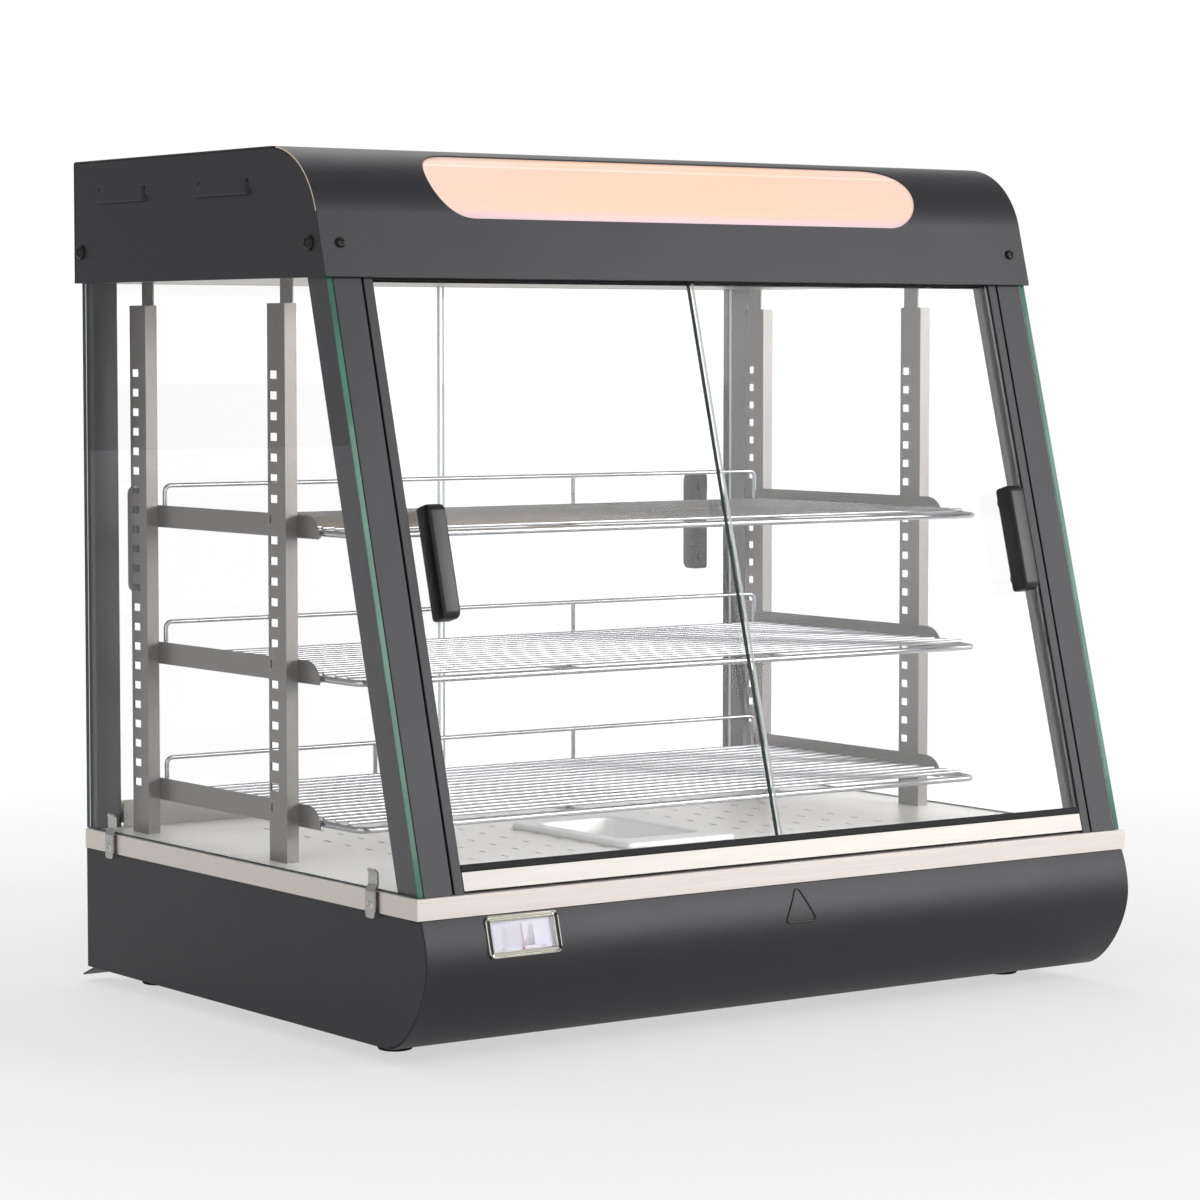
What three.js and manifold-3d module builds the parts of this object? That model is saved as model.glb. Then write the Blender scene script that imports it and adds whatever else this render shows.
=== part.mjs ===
// A counter-top heated display case: a black base with heater and water pan, a glazed cabin with three
// wire shelves on slotted uprights, sliding glass doors at the sloped front and at the rear, and a curved
// canopy with a lit sign window. Millimetres, +X along the front, +Y from front to rear, +Z up.
import * as THREE from 'three';
import { mergeVertices } from 'three/addons/utils/BufferGeometryUtils.js';
import Module from 'manifold-3d';

const wasm = await Module();
wasm.setup();

// Overall sizes. Y is counted from the front edge of the steel rim, Z from the bench.
const BODY_WIDTH = 660;
const RIM_DEPTH = 485;
const FOOT_HEIGHT = 12;
const BASE_HEIGHT = 95;
const RIM_HEIGHT = 15;
const RIM_OVERHANG = 3;
const CABIN_HEIGHT = 427.5;
const CANOPY_HEIGHT = 94.3;
const FRONT_SLOPE_DEGREES = 15.22;
const SLOPE_FOOT_Y = 3.5;

// Sheet thickness, running clearances and the small overlaps that welded and cut shapes use.
const SHEET = 1.2;
const SEAT_GAP = 0.3;
const WELD = 0.4;
const OVERRUN = 5;
const VERTEX_MERGE = 1e-4;

// Base: the front panel bulges out below the rim and rolls under to the floor.
const BASE_BULGE = 7.7;
const BASE_SHOULDER_DROP = 16.7;
const BASE_FULLEST_DROP = 31.7;
const BASE_FLOOR_FRONT_Y = 41.6;
const BASE_TOP_FLANGE = 14;
const BASE_CURVE_HANDLE_SHARE = 0.43;
const SPACER_TAB_WIDTH = 24;
const SPACER_TAB_START = 13;
const SPACER_TAB_OUT = 8;
const SPACER_TAB_DROP = 8;
const FLOOR_VENT_LENGTH = 60;
const FLOOR_VENT_WIDTH = 4;
const FLOOR_VENT_PITCH = 16;
const FLOOR_VENT_COUNT = 4;
const FLOOR_VENT_SIDE_INSET = 120;
const REAR_VENT_HEIGHT = 40;
const REAR_VENT_WIDTH = 3.5;
const REAR_VENT_PITCH = 12;
const REAR_VENT_COUNT = 6;

// Rubber feet.
const FOOT_RADIUS = 16;
const FOOT_SOLE_RADIUS = 13;
const FOOT_ROUNDING = 3;
const FOOT_SIDE_INSET = 42.8;
const FOOT_FRONT_Y = 96.1;
const FOOT_REAR_INSET = 42.4;

// Steel deck: a shallow upturned tray with rows of warm-air slots and the water pan's opening.
const RIM_REAR_CORNER = 5;
const AIR_SLOT_LENGTH = 10;
const AIR_SLOT_WIDTH = 2.5;
const AIR_SLOT_PITCH = 30;
const AIR_SLOT_CENTRE_X = -4;
const AIR_SLOT_FIRST_Y = 94;
const AIR_SLOT_SIDE_MARGIN = 115;
const AIR_SLOT_REAR_MARGIN = 85;

// Water pan that hangs in the deck by its folded rim, which is widest at the front.
const PAN_CENTRE_X = -8;
const PAN_FRONT_Y = 153;
const PAN_WIDTH = 74;
const PAN_LENGTH = 119;
const PAN_DEPTH = 38;
const PAN_CORNER = 10;
const PAN_CLEARANCE = 0.8;
const PAN_RIM = 14;
const PAN_RIM_FRONT = 25;
const PAN_RIM_HEIGHT = 5;
const PAN_RIM_CORNER = 4;

// Tubular heating element on saddles that stand on the base floor.
const ELEMENT_RADIUS = 4.25;
const ELEMENT_SIDE_INSET = 190;
const ELEMENT_FRONT_Y = 110;
const ELEMENT_REAR_INSET = 45;
const ELEMENT_RISE = 45;
const ELEMENT_BEND = 40;
const SADDLE_WIDTH = 24;
const SADDLE_THICKNESS = 2;
const SADDLE_FRONT_Y = 170;
const SADDLE_REAR_INSET = 85;

// Controls on the rear panel, all to the operator's right.
const CONTROL_RISE = 52;
const KNOB_SIDE_INSET = 100;
const KNOB_RADIUS = 18;
const KNOB_TOP_RADIUS = 15.5;
const KNOB_HEIGHT = 16;
const KNOB_RIDGE_WIDTH = 7.2;
const KNOB_SHAFT_RADIUS = 3;
const KNOB_SHAFT_LENGTH = 14;
const SHAFT_CLEARANCE = 0.35;
const THERMOSTAT_WIDTH = 40;
const THERMOSTAT_DEPTH = 28;
const SWITCH_FROM_KNOB = 65;
const ROCKER_LENGTH = 22;
const ROCKER_WIDTH = 12;
const ROCKER_DEPTH = 8;
const ROCKER_END_RISE = 3;
const ROCKER_MIDDLE_RISE = 1.6;
const ROCKER_TAPER = 2.5;
const ROCKER_TILT_DEGREES = 7;
const ROCKER_SIDE_CLEARANCE = 0.35;
const ROCKER_END_CLEARANCE = 0.8;
const SWITCH_BODY_WALL = 1.5;
const SWITCH_BEZEL = 3;
const SWITCH_BEZEL_PROUD = 1.4;
const SWITCH_BODY_DEPTH = 16;
const GLAND_SIDE_INSET = 68;
const GLAND_BORE_RADIUS = 4;
const GLAND_NECK_RADIUS = 7.5;
const GLAND_DOME_RADIUS = 10;
const GLAND_DOME_LENGTH = 12;
const GLAND_NUT_RADIUS = 11;
const GLAND_NUT_LENGTH = 5;

// Rectangular dial thermometer in the base front, to the customer's left, its face tilted up.
const DIAL_SIDE_INSET = 84.5;
const DIAL_TILT_DEGREES = 15;
const DIAL_WIDTH = 60;
const DIAL_HEIGHT = 29;
const DIAL_TOP_DROP = 1.5;
const DIAL_PROUD = 3;
const DIAL_BODY_DEPTH = 24;
const DIAL_BEZEL = 3;
const DIAL_POCKET = 4;
const DIAL_LENS = 1;
const POINTER_LENGTH = 17;
const POINTER_WIDTH = 1;
const POINTER_THICKNESS = 0.8;
const POINTER_HUB_RADIUS = 2;
const POINTER_PIVOT_RISE = 2.8;
const POINTER_AXLE_RADIUS = 0.8;

// Side panes and the four screwed clips that hold them to the rim.
const PANE_THICKNESS = 5;
const PANE_INSET = 2.5;
const PANE_REAR_INSET = 1;
const PANE_TUCK = 14;
const CLIP_WIDTH = 12;
const CLIP_BELOW_RIM = 4;
const CLIP_JOG = 4;
const CLIP_GRIP = 13;
const CLIP_FLARE = 2;
const CLIP_FLARE_RISE = 3;
const CLIP_FRONT_Y = 57;
const CLIP_REAR_INSET = 47;
const CLIP_SCREW_RISE = 5;
const CLIP_SCREW_RADIUS = 4;
const CLIP_SCREW_HEAD = 2.2;

// Box-section posts: sloped ones with a door jamb at the front, upright ones at the rear.
const POST_WALL = 1.5;
const POST_WIDTH = 24;
const POST_DEPTH = 30;
const POST_TUCK = 12;
const JAMB_SLIT = 1.5;
const JAMB_WIDTH = 8;
const JAMB_BRIDGE_DEPTH = 5;
const REAR_POST_WIDTH = 21.5;
const REAR_POST_DEPTH = 12;

// Door sills, tracks and panes. Both door pairs use the same section.
const SILL_RISE = 15.1;
const SILL_FOOT_GAP = 2;
const TRACK_WALL = 1.5;
const TRACK_RAIL_HEIGHT = 3.4;
const TOP_TRACK_DROP = 12;
const TOP_TRACK_ENGAGE = 8;
const TOP_TRACK_FRONT_PAD = 2;
const DOOR_THICKNESS = 4;
const DOOR_PLAY = 0.5;
const DOOR_OVERLAP = 9;
const DOOR_EDGE_CLEARANCE = 0.6;
const FRONT_DOOR_AJAR = 6;
const FRONT_HANDLE_INSET = 23.75;
const REAR_HANDLE_INSET = 28.75;
const HANDLE_CENTRE_RISE = 226;
const HANDLE_LENGTH = 83;
const HANDLE_WIDTH = 15;
const HANDLE_DEPTH = 17.5;
const HANDLE_OUTER_ROUND = 6;
const HANDLE_INNER_ROUND = 3;
const HANDLE_EDGE = 1.5;
const HANDLE_BOSS_RADIUS = 4.5;
const HANDLE_BOSS_LENGTH = 2.5;
const HANDLE_BOSS_INSET = 11;

// Slotted uprights, hook-in shelf brackets and wire shelves.
const UPRIGHT_SIDE_INSET = 24.5;
const UPRIGHT_WEB = 10;
const UPRIGHT_FLANGE = 25;
const UPRIGHT_TOP_DROP = 17.5;
const UPRIGHT_FRONT_Y = 210.6;
const UPRIGHT_REAR_INSET = 66;
const UPRIGHT_TONGUE_WIDTH = 17;
const HOOK_SLOT_PITCH = 15.15;
const HOOK_SLOT_TOP_DROP = 52.1;
const HOOK_SLOT_FOOT_MARGIN = 35;
const HOOK_SLOT_LENGTH = 10.8;
const HOOK_SLOT_HEIGHT = 5.9;
const HOOK_SLOT_SETBACK = 17.2;
const BRACKET_HEIGHT = 17;
const BRACKET_NOSE_Y = 182;
const BRACKET_NOSE_LENGTH = 17;
const BRACKET_NOSE_LIP = 6;
const BRACKET_LEDGE = 12;
const BRACKET_HOOK_LENGTH = 7;
const BRACKET_HOOK_HEIGHT = 4;
const BRACKET_HOOK_REACH = 4;
const BRACKET_HOOK_RISE = 13;
const SHELF_LEVEL_SHARES = { top: 1 / 3, middle: 2 / 3, bottom: 1 };
const SHELF_FRONT_Y = 132;
const SHELF_REAR_INSET = 20;
const SHELF_SIDE_CLEARANCE = 1.5;
const SHELF_CORNER = 8;
const FRAME_WIRE_RADIUS = 2.5;
const DECK_WIRE_RADIUS = 1.5;
const DECK_WIRE_PITCH = 17;
const CROSS_WIRE_RADIUS = 2;
const CROSS_WIRE_SHARE = 1 / 3;
const RAIL_WIRE_RADIUS = 1.8;
const RAIL_RISE = 28;
const RAIL_INSET = 2;

// Canopy: one wrapped sheet over two end panels, with a stadium-shaped sign window on its curve.
const CANOPY_REAR_OVERHANG = 6.5;
const CANOPY_RADIUS = 65;
const LIP_PROUD = 3.5;
const END_FLANGE = 12;
const WINDOW_SIDE_INSET = 102;
const WINDOW_HEIGHT = 65;
const WINDOW_BELOW_CURVE = 3;
const SIGN_THICKNESS = 3;
const SIGN_MARGIN = 8;
const LOUVRE_LENGTH = 75;
const LOUVRE_TOP_LENGTH = 60;
const LOUVRE_HEIGHT = 12;
const LOUVRE_DEPTH = 2.5;
const LOUVRE_RISE = 61.5;
const LOUVRE_REAR_INSET = 77;
const LOUVRE_SPACING = 154.5;
const CANOPY_SCREW_RADIUS = 4.5;
const CANOPY_SCREW_HEAD = 2;
const CANOPY_SCREW_RISE = 24;
const FRONT_SCREW_INSET = 16;
const END_SCREW_FRONT_INSET = 16.3;
const END_SCREW_REAR_INSET = 11;

// Ceiling and its lamp, in the gap behind the front door track.
const LAMP_RADIUS = 13;
const LAMP_SETBACK = 33.2;
const LAMP_SIDE_INSET = 45;
const LAMP_LENGTH = 435;
const LAMP_BOTTOM_DROP = 3.5;
const LAMP_CLEARANCE = 4;
const LAMP_HOLDER_LENGTH = 6;
const LAMP_HOLDER_FRONT = 12;
const LAMP_RAIL_HEIGHT = 20;
const CEILING_FLANGE_RISE = 24;

// Facet counts: small round parts, wires, and the rolled sheets.
const ROUND_SIDES = 16;
const SCREW_SIDES = 10;
const WIRE_SIDES = 6;
const BEND_STEPS = 4;
const CURVE_STEPS = 8;
const CANOPY_STEPS = 12;

// Positions that follow from the sizes above.
const SLOPE = THREE.MathUtils.degToRad(FRONT_SLOPE_DEGREES);
const HALF_WIDTH = BODY_WIDTH / 2;
const BASE_HALF_WIDTH = HALF_WIDTH - RIM_OVERHANG;
const FLOOR_Z = FOOT_HEIGHT;
const RIM_Z = FLOOR_Z + BASE_HEIGHT;
const DECK_Z = RIM_Z + RIM_HEIGHT;
const LIP_Z = DECK_Z + CABIN_HEIGHT;
const TOP_Z = LIP_Z + CANOPY_HEIGHT;
const BASE_FRONT_Y = -BASE_BULGE;
const FLOOR_VENT_X = HALF_WIDTH - FLOOR_VENT_SIDE_INSET;
const FOOT_X = HALF_WIDTH - FOOT_SIDE_INSET;
const FOOT_REAR_Y = RIM_DEPTH - FOOT_REAR_INSET;
const ELEMENT_HALF_SPAN = HALF_WIDTH - ELEMENT_SIDE_INSET;
const ELEMENT_REAR_Y = RIM_DEPTH - ELEMENT_REAR_INSET;
const SADDLE_REAR_Y = RIM_DEPTH - SADDLE_REAR_INSET;
const KNOB_X = KNOB_SIDE_INSET - HALF_WIDTH;
const SWITCH_X = KNOB_X + SWITCH_FROM_KNOB;
const GLAND_X = HALF_WIDTH - GLAND_SIDE_INSET;
const DIAL_CENTRE_X = DIAL_SIDE_INSET - HALF_WIDTH;
const DIAL_TOP_Z = RIM_Z - DIAL_TOP_DROP;
const DIAL_TILT = THREE.MathUtils.degToRad(DIAL_TILT_DEGREES);
const POINTER_FACE = DIAL_POCKET - SEAT_GAP - POINTER_THICKNESS;
const POINTER_PIVOT = DIAL_BEZEL + POINTER_PIVOT_RISE - DIAL_HEIGHT;
const PANE_OUTER_X = HALF_WIDTH - PANE_INSET;
const PANE_INNER_X = PANE_OUTER_X - PANE_THICKNESS;
const PANE_REAR_Y = RIM_DEPTH - PANE_REAR_INSET;
const CLIP_REAR_Y = RIM_DEPTH - CLIP_REAR_INSET;
const POST_INNER_X = PANE_INNER_X - POST_WIDTH;
const JAMB_OUTER_X = POST_INNER_X - JAMB_SLIT;
const JAMB_INNER_X = JAMB_OUTER_X - JAMB_WIDTH;
const REAR_POST_INNER_X = PANE_INNER_X - REAR_POST_WIDTH;
const GROOVE = DOOR_THICKNESS + 2 * DOOR_PLAY;
const TRACK_DEPTH = 3 * TRACK_WALL + 2 * GROOVE;
const SILL_SLANT = SILL_RISE / Math.cos(SLOPE);
const REAR_PLANE_Y = PANE_REAR_Y - TRACK_WALL;
const UPRIGHT_OUTER_X = HALF_WIDTH - UPRIGHT_SIDE_INSET;
const UPRIGHT_INNER_X = UPRIGHT_OUTER_X - UPRIGHT_WEB;
const UPRIGHT_REAR_Y = RIM_DEPTH - UPRIGHT_REAR_INSET;
const UPRIGHT_TOP_Z = LIP_Z - UPRIGHT_TOP_DROP;
const FIRST_SLOT_Z = UPRIGHT_TOP_Z - HOOK_SLOT_TOP_DROP;
const SLOT_PITCHES = Math.floor((FIRST_SLOT_Z - DECK_Z - HOOK_SLOT_FOOT_MARGIN) / HOOK_SLOT_PITCH);
const BRACKET_OUTER_X = UPRIGHT_INNER_X - SEAT_GAP;
const BRACKET_INNER_X = BRACKET_OUTER_X - SHEET;
const BRACKET_REAR_Y = UPRIGHT_REAR_Y + UPRIGHT_FLANGE;
const SHELF_HALF_WIDTH = BRACKET_INNER_X - SHELF_SIDE_CLEARANCE;
const SHELF_REAR_Y = BRACKET_REAR_Y - SHELF_REAR_INSET;
const CANOPY_REAR_Y = RIM_DEPTH + CANOPY_REAR_OVERHANG;
const CANOPY_SCREW_Z = LIP_Z + CANOPY_SCREW_RISE;
const WINDOW_HALF_WIDTH = HALF_WIDTH - WINDOW_SIDE_INSET;
const LOUVRE_REAR_Y = CANOPY_REAR_Y - LOUVRE_REAR_INSET;
const LOUVRE_CENTRES_Y = [LOUVRE_REAR_Y - LOUVRE_SPACING, LOUVRE_REAR_Y];
const LAMP_LEFT_X = LAMP_SIDE_INSET - HALF_WIDTH;
const LAMP_Y = slopeY(LIP_Z) + LAMP_SETBACK;
const LAMP_Z = LIP_Z - LAMP_BOTTOM_DROP + LAMP_RADIUS;
const RAIL_REAR_Y = LAMP_Y + LAMP_RADIUS + LAMP_CLEARANCE + SHEET;
const CEILING_FRONT_Y = RAIL_REAR_Y + SEAT_GAP;

const COAT = { color: 0x35353a, roughness: 0.5, metalness: 0.1 };
const STEEL = { color: 0xc9c5c0, roughness: 0.35, metalness: 0.9 };
const CHROME = { color: 0xdcdcde, roughness: 0.12, metalness: 1 };
const GLASS = { color: 0xdfeee8, roughness: 0.05, metalness: 0, transparent: true, opacity: 0.25 };
const PLASTIC = { color: 0x1f1f22, roughness: 0.3, metalness: 0 };
const RUBBER = { color: 0x101012, roughness: 0.85, metalness: 0 };
const OPAL = { color: 0xfbdcc8, roughness: 0.35, metalness: 0 };
const LAMP = { color: 0xffe2a8, roughness: 0.3, metalness: 0 };
const NEEDLE = { color: 0xc8231c, roughness: 0.5, metalness: 0 };

const DEPTH_AXIS = new THREE.Vector3(0, 1, 0);
const UP_AXIS = new THREE.Vector3(0, 0, 1);
const ALONG_X = new THREE.Matrix4().makeBasis(DEPTH_AXIS, UP_AXIS, new THREE.Vector3(1, 0, 0));

// Turns a closed three.js geometry into a solid that can be joined and cut.
function solidOf(geometry) {
  const bare = geometry.clone();
  bare.deleteAttribute('normal');
  bare.deleteAttribute('uv');
  const merged = mergeVertices(bare, VERTEX_MERGE);
  const vertProperties = merged.getAttribute('position').array;
  const triVerts = new Uint32Array(merged.index.array);
  return new wasm.Manifold(new wasm.Mesh({ numProp: 3, vertProperties, triVerts }));
}

function join(...solids) {
  return solids.flat().reduce((whole, next) => whole.add(next));
}

function cut(solid, ...cutters) {
  return cutters.flat().reduce((rest, cutter) => rest.subtract(cutter), solid);
}

function mesh(name, solid, finish) {
  const { vertProperties, triVerts } = solid.getMesh();
  const geometry = new THREE.BufferGeometry();
  geometry.setAttribute('position', new THREE.BufferAttribute(vertProperties, 3));
  geometry.setIndex(new THREE.BufferAttribute(triVerts, 1));
  const flat = geometry.toNonIndexed();
  flat.computeVertexNormals();
  const made = new THREE.Mesh(flat, new THREE.MeshStandardMaterial(finish));
  made.name = name;
  return made;
}

function box(x0, x1, y0, y1, z0, z1) {
  const geometry = new THREE.BoxGeometry(x1 - x0, y1 - y0, z1 - z0);
  return solidOf(geometry.translate((x0 + x1) / 2, (y0 + y1) / 2, (z0 + z1) / 2));
}

function extrude(shape, depth) {
  return new THREE.ExtrudeGeometry(shape, { depth, bevelEnabled: false, curveSegments: BEND_STEPS });
}

function shapeOf(points) {
  return new THREE.Shape(points.map(([a, b]) => new THREE.Vector2(a, b)));
}

// A prism along X of an outline in Y and Z.
function prismX(points, x0, x1) {
  const geometry = extrude(shapeOf(points), x1 - x0).applyMatrix4(ALONG_X);
  return solidOf(geometry.translate(x0, 0, 0));
}

// A prism along Y of an outline in X and Z.
function prismY(points, y0, y1) {
  const geometry = extrude(shapeOf(points), y1 - y0).rotateX(Math.PI / 2);
  return solidOf(geometry.translate(0, y1, 0));
}

// A prism along Z of a shape in X and Y.
function prismZ(shape, z0, z1) {
  return solidOf(extrude(shape, z1 - z0).translate(0, 0, z0));
}

function roundX(radius, x0, x1, y, z, sides = ROUND_SIDES) {
  const geometry = new THREE.CylinderGeometry(radius, radius, x1 - x0, sides).rotateZ(Math.PI / 2);
  return solidOf(geometry.translate((x0 + x1) / 2, y, z));
}

// A round bar or cone along Y; frontRadius is the radius at y0.
function roundY(frontRadius, rearRadius, y0, y1, x, z, sides = ROUND_SIDES) {
  const geometry = new THREE.CylinderGeometry(rearRadius, frontRadius, y1 - y0, sides);
  return solidOf(geometry.translate(x, (y0 + y1) / 2, z));
}

function roundedShape(halfX, halfY, radius, centreX = 0, centreY = 0) {
  const shape = new THREE.Shape();
  const corners = [[1, -1, -0.5], [1, 1, 0], [-1, 1, 0.5], [-1, -1, 1]];
  for (const [signX, signY, quarter] of corners) {
    const x = centreX + signX * (halfX - radius);
    const y = centreY + signY * (halfY - radius);
    shape.absarc(x, y, radius, quarter * Math.PI, (quarter + 0.5) * Math.PI, false);
  }
  return shape;
}

// The points of a path, each as a pair, with no point twice.
function pointsOf(path, steps) {
  return path.getPoints(steps).map((point) => [point.x, point.y]);
}

// Moves an open run of points sideways, to its left for a positive distance.
function offsetRun(points, distance) {
  const normals = [];
  for (let i = 0; i + 1 < points.length; i += 1) {
    const [ax, ay] = points[i];
    const [bx, by] = points[i + 1];
    const length = Math.hypot(bx - ax, by - ay);
    normals.push([-(by - ay) / length, (bx - ax) / length]);
  }
  return points.map(([x, y], i) => {
    const before = normals[Math.max(i - 1, 0)];
    const after = normals[Math.min(i, normals.length - 1)];
    const scale = distance / (1 + before[0] * after[0] + before[1] * after[1]);
    return [x + (before[0] + after[0]) * scale, y + (before[1] + after[1]) * scale];
  });
}

// The outline of a sheet that follows a run of points, with its thickness to the left of the run.
function sheetOutline(points, thickness) {
  return [...points, ...offsetRun(points, thickness).reverse()];
}

function at(x, y, z) {
  return new THREE.Vector3(x, y, z);
}

// A round rod through planar points, mitred at each bend. normal is the plane's unit normal.
function bentRod(points, radius, normal, closed) {
  const count = points.length;
  const rings = points.map((point, i) => {
    const previous = points[closed ? (i + count - 1) % count : Math.max(i - 1, 0)];
    const next = points[closed ? (i + 1) % count : Math.min(i + 1, count - 1)];
    const inward = point.clone().sub(previous).normalize();
    const outward = next.clone().sub(point).normalize();
    const into = inward.lengthSq() > 0 ? inward : outward;
    const out = outward.lengthSq() > 0 ? outward : inward;
    const along = into.clone().add(out).normalize();
    const side = along.clone().cross(normal).multiplyScalar(1 / along.dot(into));
    return Array.from({ length: WIRE_SIDES }, (_, k) => {
      const angle = (2 * Math.PI * k) / WIRE_SIDES;
      const across = side.clone().multiplyScalar(radius * Math.cos(angle));
      return point.clone().add(across).addScaledVector(normal, radius * Math.sin(angle));
    });
  });
  const positions = [];
  const triangle = (a, b, c) => [a, b, c].forEach((corner) => positions.push(...corner.toArray()));
  const stretches = closed ? count : count - 1;
  for (let i = 0; i < stretches; i += 1) {
    const here = rings[i];
    const there = rings[(i + 1) % count];
    for (let k = 0; k < WIRE_SIDES; k += 1) {
      const j = (k + 1) % WIRE_SIDES;
      triangle(here[k], there[j], here[j]);
      triangle(here[k], there[k], there[j]);
    }
  }
  if (!closed) {
    for (let k = 1; k + 1 < WIRE_SIDES; k += 1) {
      triangle(rings[0][0], rings[0][k], rings[0][k + 1]);
      triangle(rings[count - 1][0], rings[count - 1][k + 1], rings[count - 1][k]);
    }
  }
  const geometry = new THREE.BufferGeometry();
  geometry.setAttribute('position', new THREE.Float32BufferAttribute(positions, 3));
  const rod = solidOf(geometry);
  return rod.volume() < 0 ? solidOf(turnedInsideOut(positions)) : rod;
}

function turnedInsideOut(positions) {
  const turned = [];
  for (let i = 0; i < positions.length; i += 9) {
    turned.push(...positions.slice(i, i + 3), ...positions.slice(i + 6, i + 9));
    turned.push(...positions.slice(i + 3, i + 6));
  }
  const geometry = new THREE.BufferGeometry();
  return geometry.setAttribute('position', new THREE.Float32BufferAttribute(turned, 3));
}

// The front plane slopes back: its Y at a height, and the Y of a plane some depth behind it.
function slopeY(z, depth = 0) {
  return SLOPE_FOOT_Y + (z - DECK_Z) * Math.tan(SLOPE) + depth / Math.cos(SLOPE);
}

// A point by its depth behind the front plane and its distance up the slope from the deck.
function slant(depth, rise) {
  const y = SLOPE_FOOT_Y + rise * Math.sin(SLOPE) + depth * Math.cos(SLOPE);
  return [y, DECK_Z + rise * Math.cos(SLOPE) - depth * Math.sin(SLOPE)];
}

// A sloped bar with level ends, between two depths behind the front plane.
function slopeBar(x0, x1, depth0, depth1, z0, z1) {
  const front = [[slopeY(z0, depth0), z0], [slopeY(z1, depth0), z1]];
  return prismX([...front, [slopeY(z1, depth1), z1], [slopeY(z0, depth1), z0]], x0, x1);
}

// The base front panel's outer line: rim flange, shoulder, bulge and roll under to the floor.
function basePanelRun() {
  const top = RIM_Z - SEAT_GAP;
  const fullest = top - BASE_FULLEST_DROP;
  const drop = fullest - FLOOR_Z;
  const reach = BASE_FLOOR_FRONT_Y - BASE_FRONT_Y;
  const line = new THREE.Path();
  line.moveTo(BASE_TOP_FLANGE, top);
  line.lineTo(0, top);
  line.quadraticCurveTo(BASE_FRONT_Y, top - BASE_SHOULDER_DROP, BASE_FRONT_Y, fullest);
  line.bezierCurveTo(
    BASE_FRONT_Y, fullest - drop * BASE_CURVE_HANDLE_SHARE,
    BASE_FLOOR_FRONT_Y - reach * BASE_CURVE_HANDLE_SHARE, FLOOR_Z,
    BASE_FLOOR_FRONT_Y, FLOOR_Z,
  );
  return pointsOf(line, CURVE_STEPS);
}

// A stack of floor vents: narrow slots that run along X at one side of the base.
function floorVents(centreX) {
  const across = [centreX - FLOOR_VENT_LENGTH / 2, centreX + FLOOR_VENT_LENGTH / 2];
  const stack = (FLOOR_VENT_COUNT - 1) * FLOOR_VENT_PITCH + FLOOR_VENT_WIDTH;
  const firstY = (FOOT_FRONT_Y + FOOT_REAR_Y - stack) / 2;
  return Array.from({ length: FLOOR_VENT_COUNT }, (_, i) => {
    const y0 = firstY + i * FLOOR_VENT_PITCH;
    return box(...across, y0, y0 + FLOOR_VENT_WIDTH, FLOOR_Z - OVERRUN, FLOOR_Z + SHEET + OVERRUN);
  });
}

// A notched plate that holds one leg of the heating element.
function saddle(x, y) {
  const top = FLOOR_Z + SHEET + ELEMENT_RISE;
  const y0 = y - SADDLE_THICKNESS / 2;
  const y1 = y + SADDLE_THICKNESS / 2;
  const bore = ELEMENT_RADIUS + SEAT_GAP;
  const plate = box(x - SADDLE_WIDTH / 2, x + SADDLE_WIDTH / 2, y0, y1, FLOOR_Z + SHEET - WELD, top);
  return cut(plate, roundY(bore, bore, y0 - OVERRUN, y1 + OVERRUN, x, top, WIRE_SIDES * 2));
}

// Floor and side walls in one. The walls stand inside the deck's skirt and carry the deck.
function baseTray() {
  const panel = basePanelRun();
  const inner = offsetRun(panel, SHEET + SEAT_GAP);
  const floorFront = BASE_FLOOR_FRONT_Y + SEAT_GAP;
  const flangeEnd = BASE_TOP_FLANGE + SEAT_GAP;
  const skirtEnd = RIM_DEPTH - RIM_REAR_CORNER;
  const deckSeat = DECK_Z - SHEET - SEAT_GAP;
  const side = [
    [RIM_DEPTH, RIM_Z - SEAT_GAP], [skirtEnd, RIM_Z - SEAT_GAP], [skirtEnd, deckSeat],
    [flangeEnd, deckSeat], [flangeEnd, inner[0][1]], ...inner.slice(1, -1),
    [floorFront, inner.at(-1)[1]], [floorFront, FLOOR_Z], [RIM_DEPTH, FLOOR_Z],
  ];
  const tabStart = RIM_DEPTH - SPACER_TAB_START;
  const tab = sheetOutline([
    [tabStart, FLOOR_Z + SHEET], [tabStart + SHEET, FLOOR_Z + SHEET],
    [RIM_DEPTH + SPACER_TAB_OUT, FLOOR_Z + SHEET - SPACER_TAB_DROP],
  ], -SHEET);
  const legs = [-ELEMENT_HALF_SPAN, ELEMENT_HALF_SPAN];
  const wall = BASE_HALF_WIDTH - SHEET;
  const tray = join(
    box(-wall - WELD, wall + WELD, floorFront, RIM_DEPTH, FLOOR_Z, FLOOR_Z + SHEET),
    prismX(side, -BASE_HALF_WIDTH, -wall),
    prismX(side, wall, BASE_HALF_WIDTH),
    prismX(tab, -BASE_HALF_WIDTH, SPACER_TAB_WIDTH - BASE_HALF_WIDTH),
    prismX(tab, BASE_HALF_WIDTH - SPACER_TAB_WIDTH, BASE_HALF_WIDTH),
    legs.flatMap((x) => [saddle(x, SADDLE_FRONT_Y), saddle(x, SADDLE_REAR_Y)]),
  );
  return cut(tray, floorVents(-FLOOR_VENT_X), floorVents(FLOOR_VENT_X));
}

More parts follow.
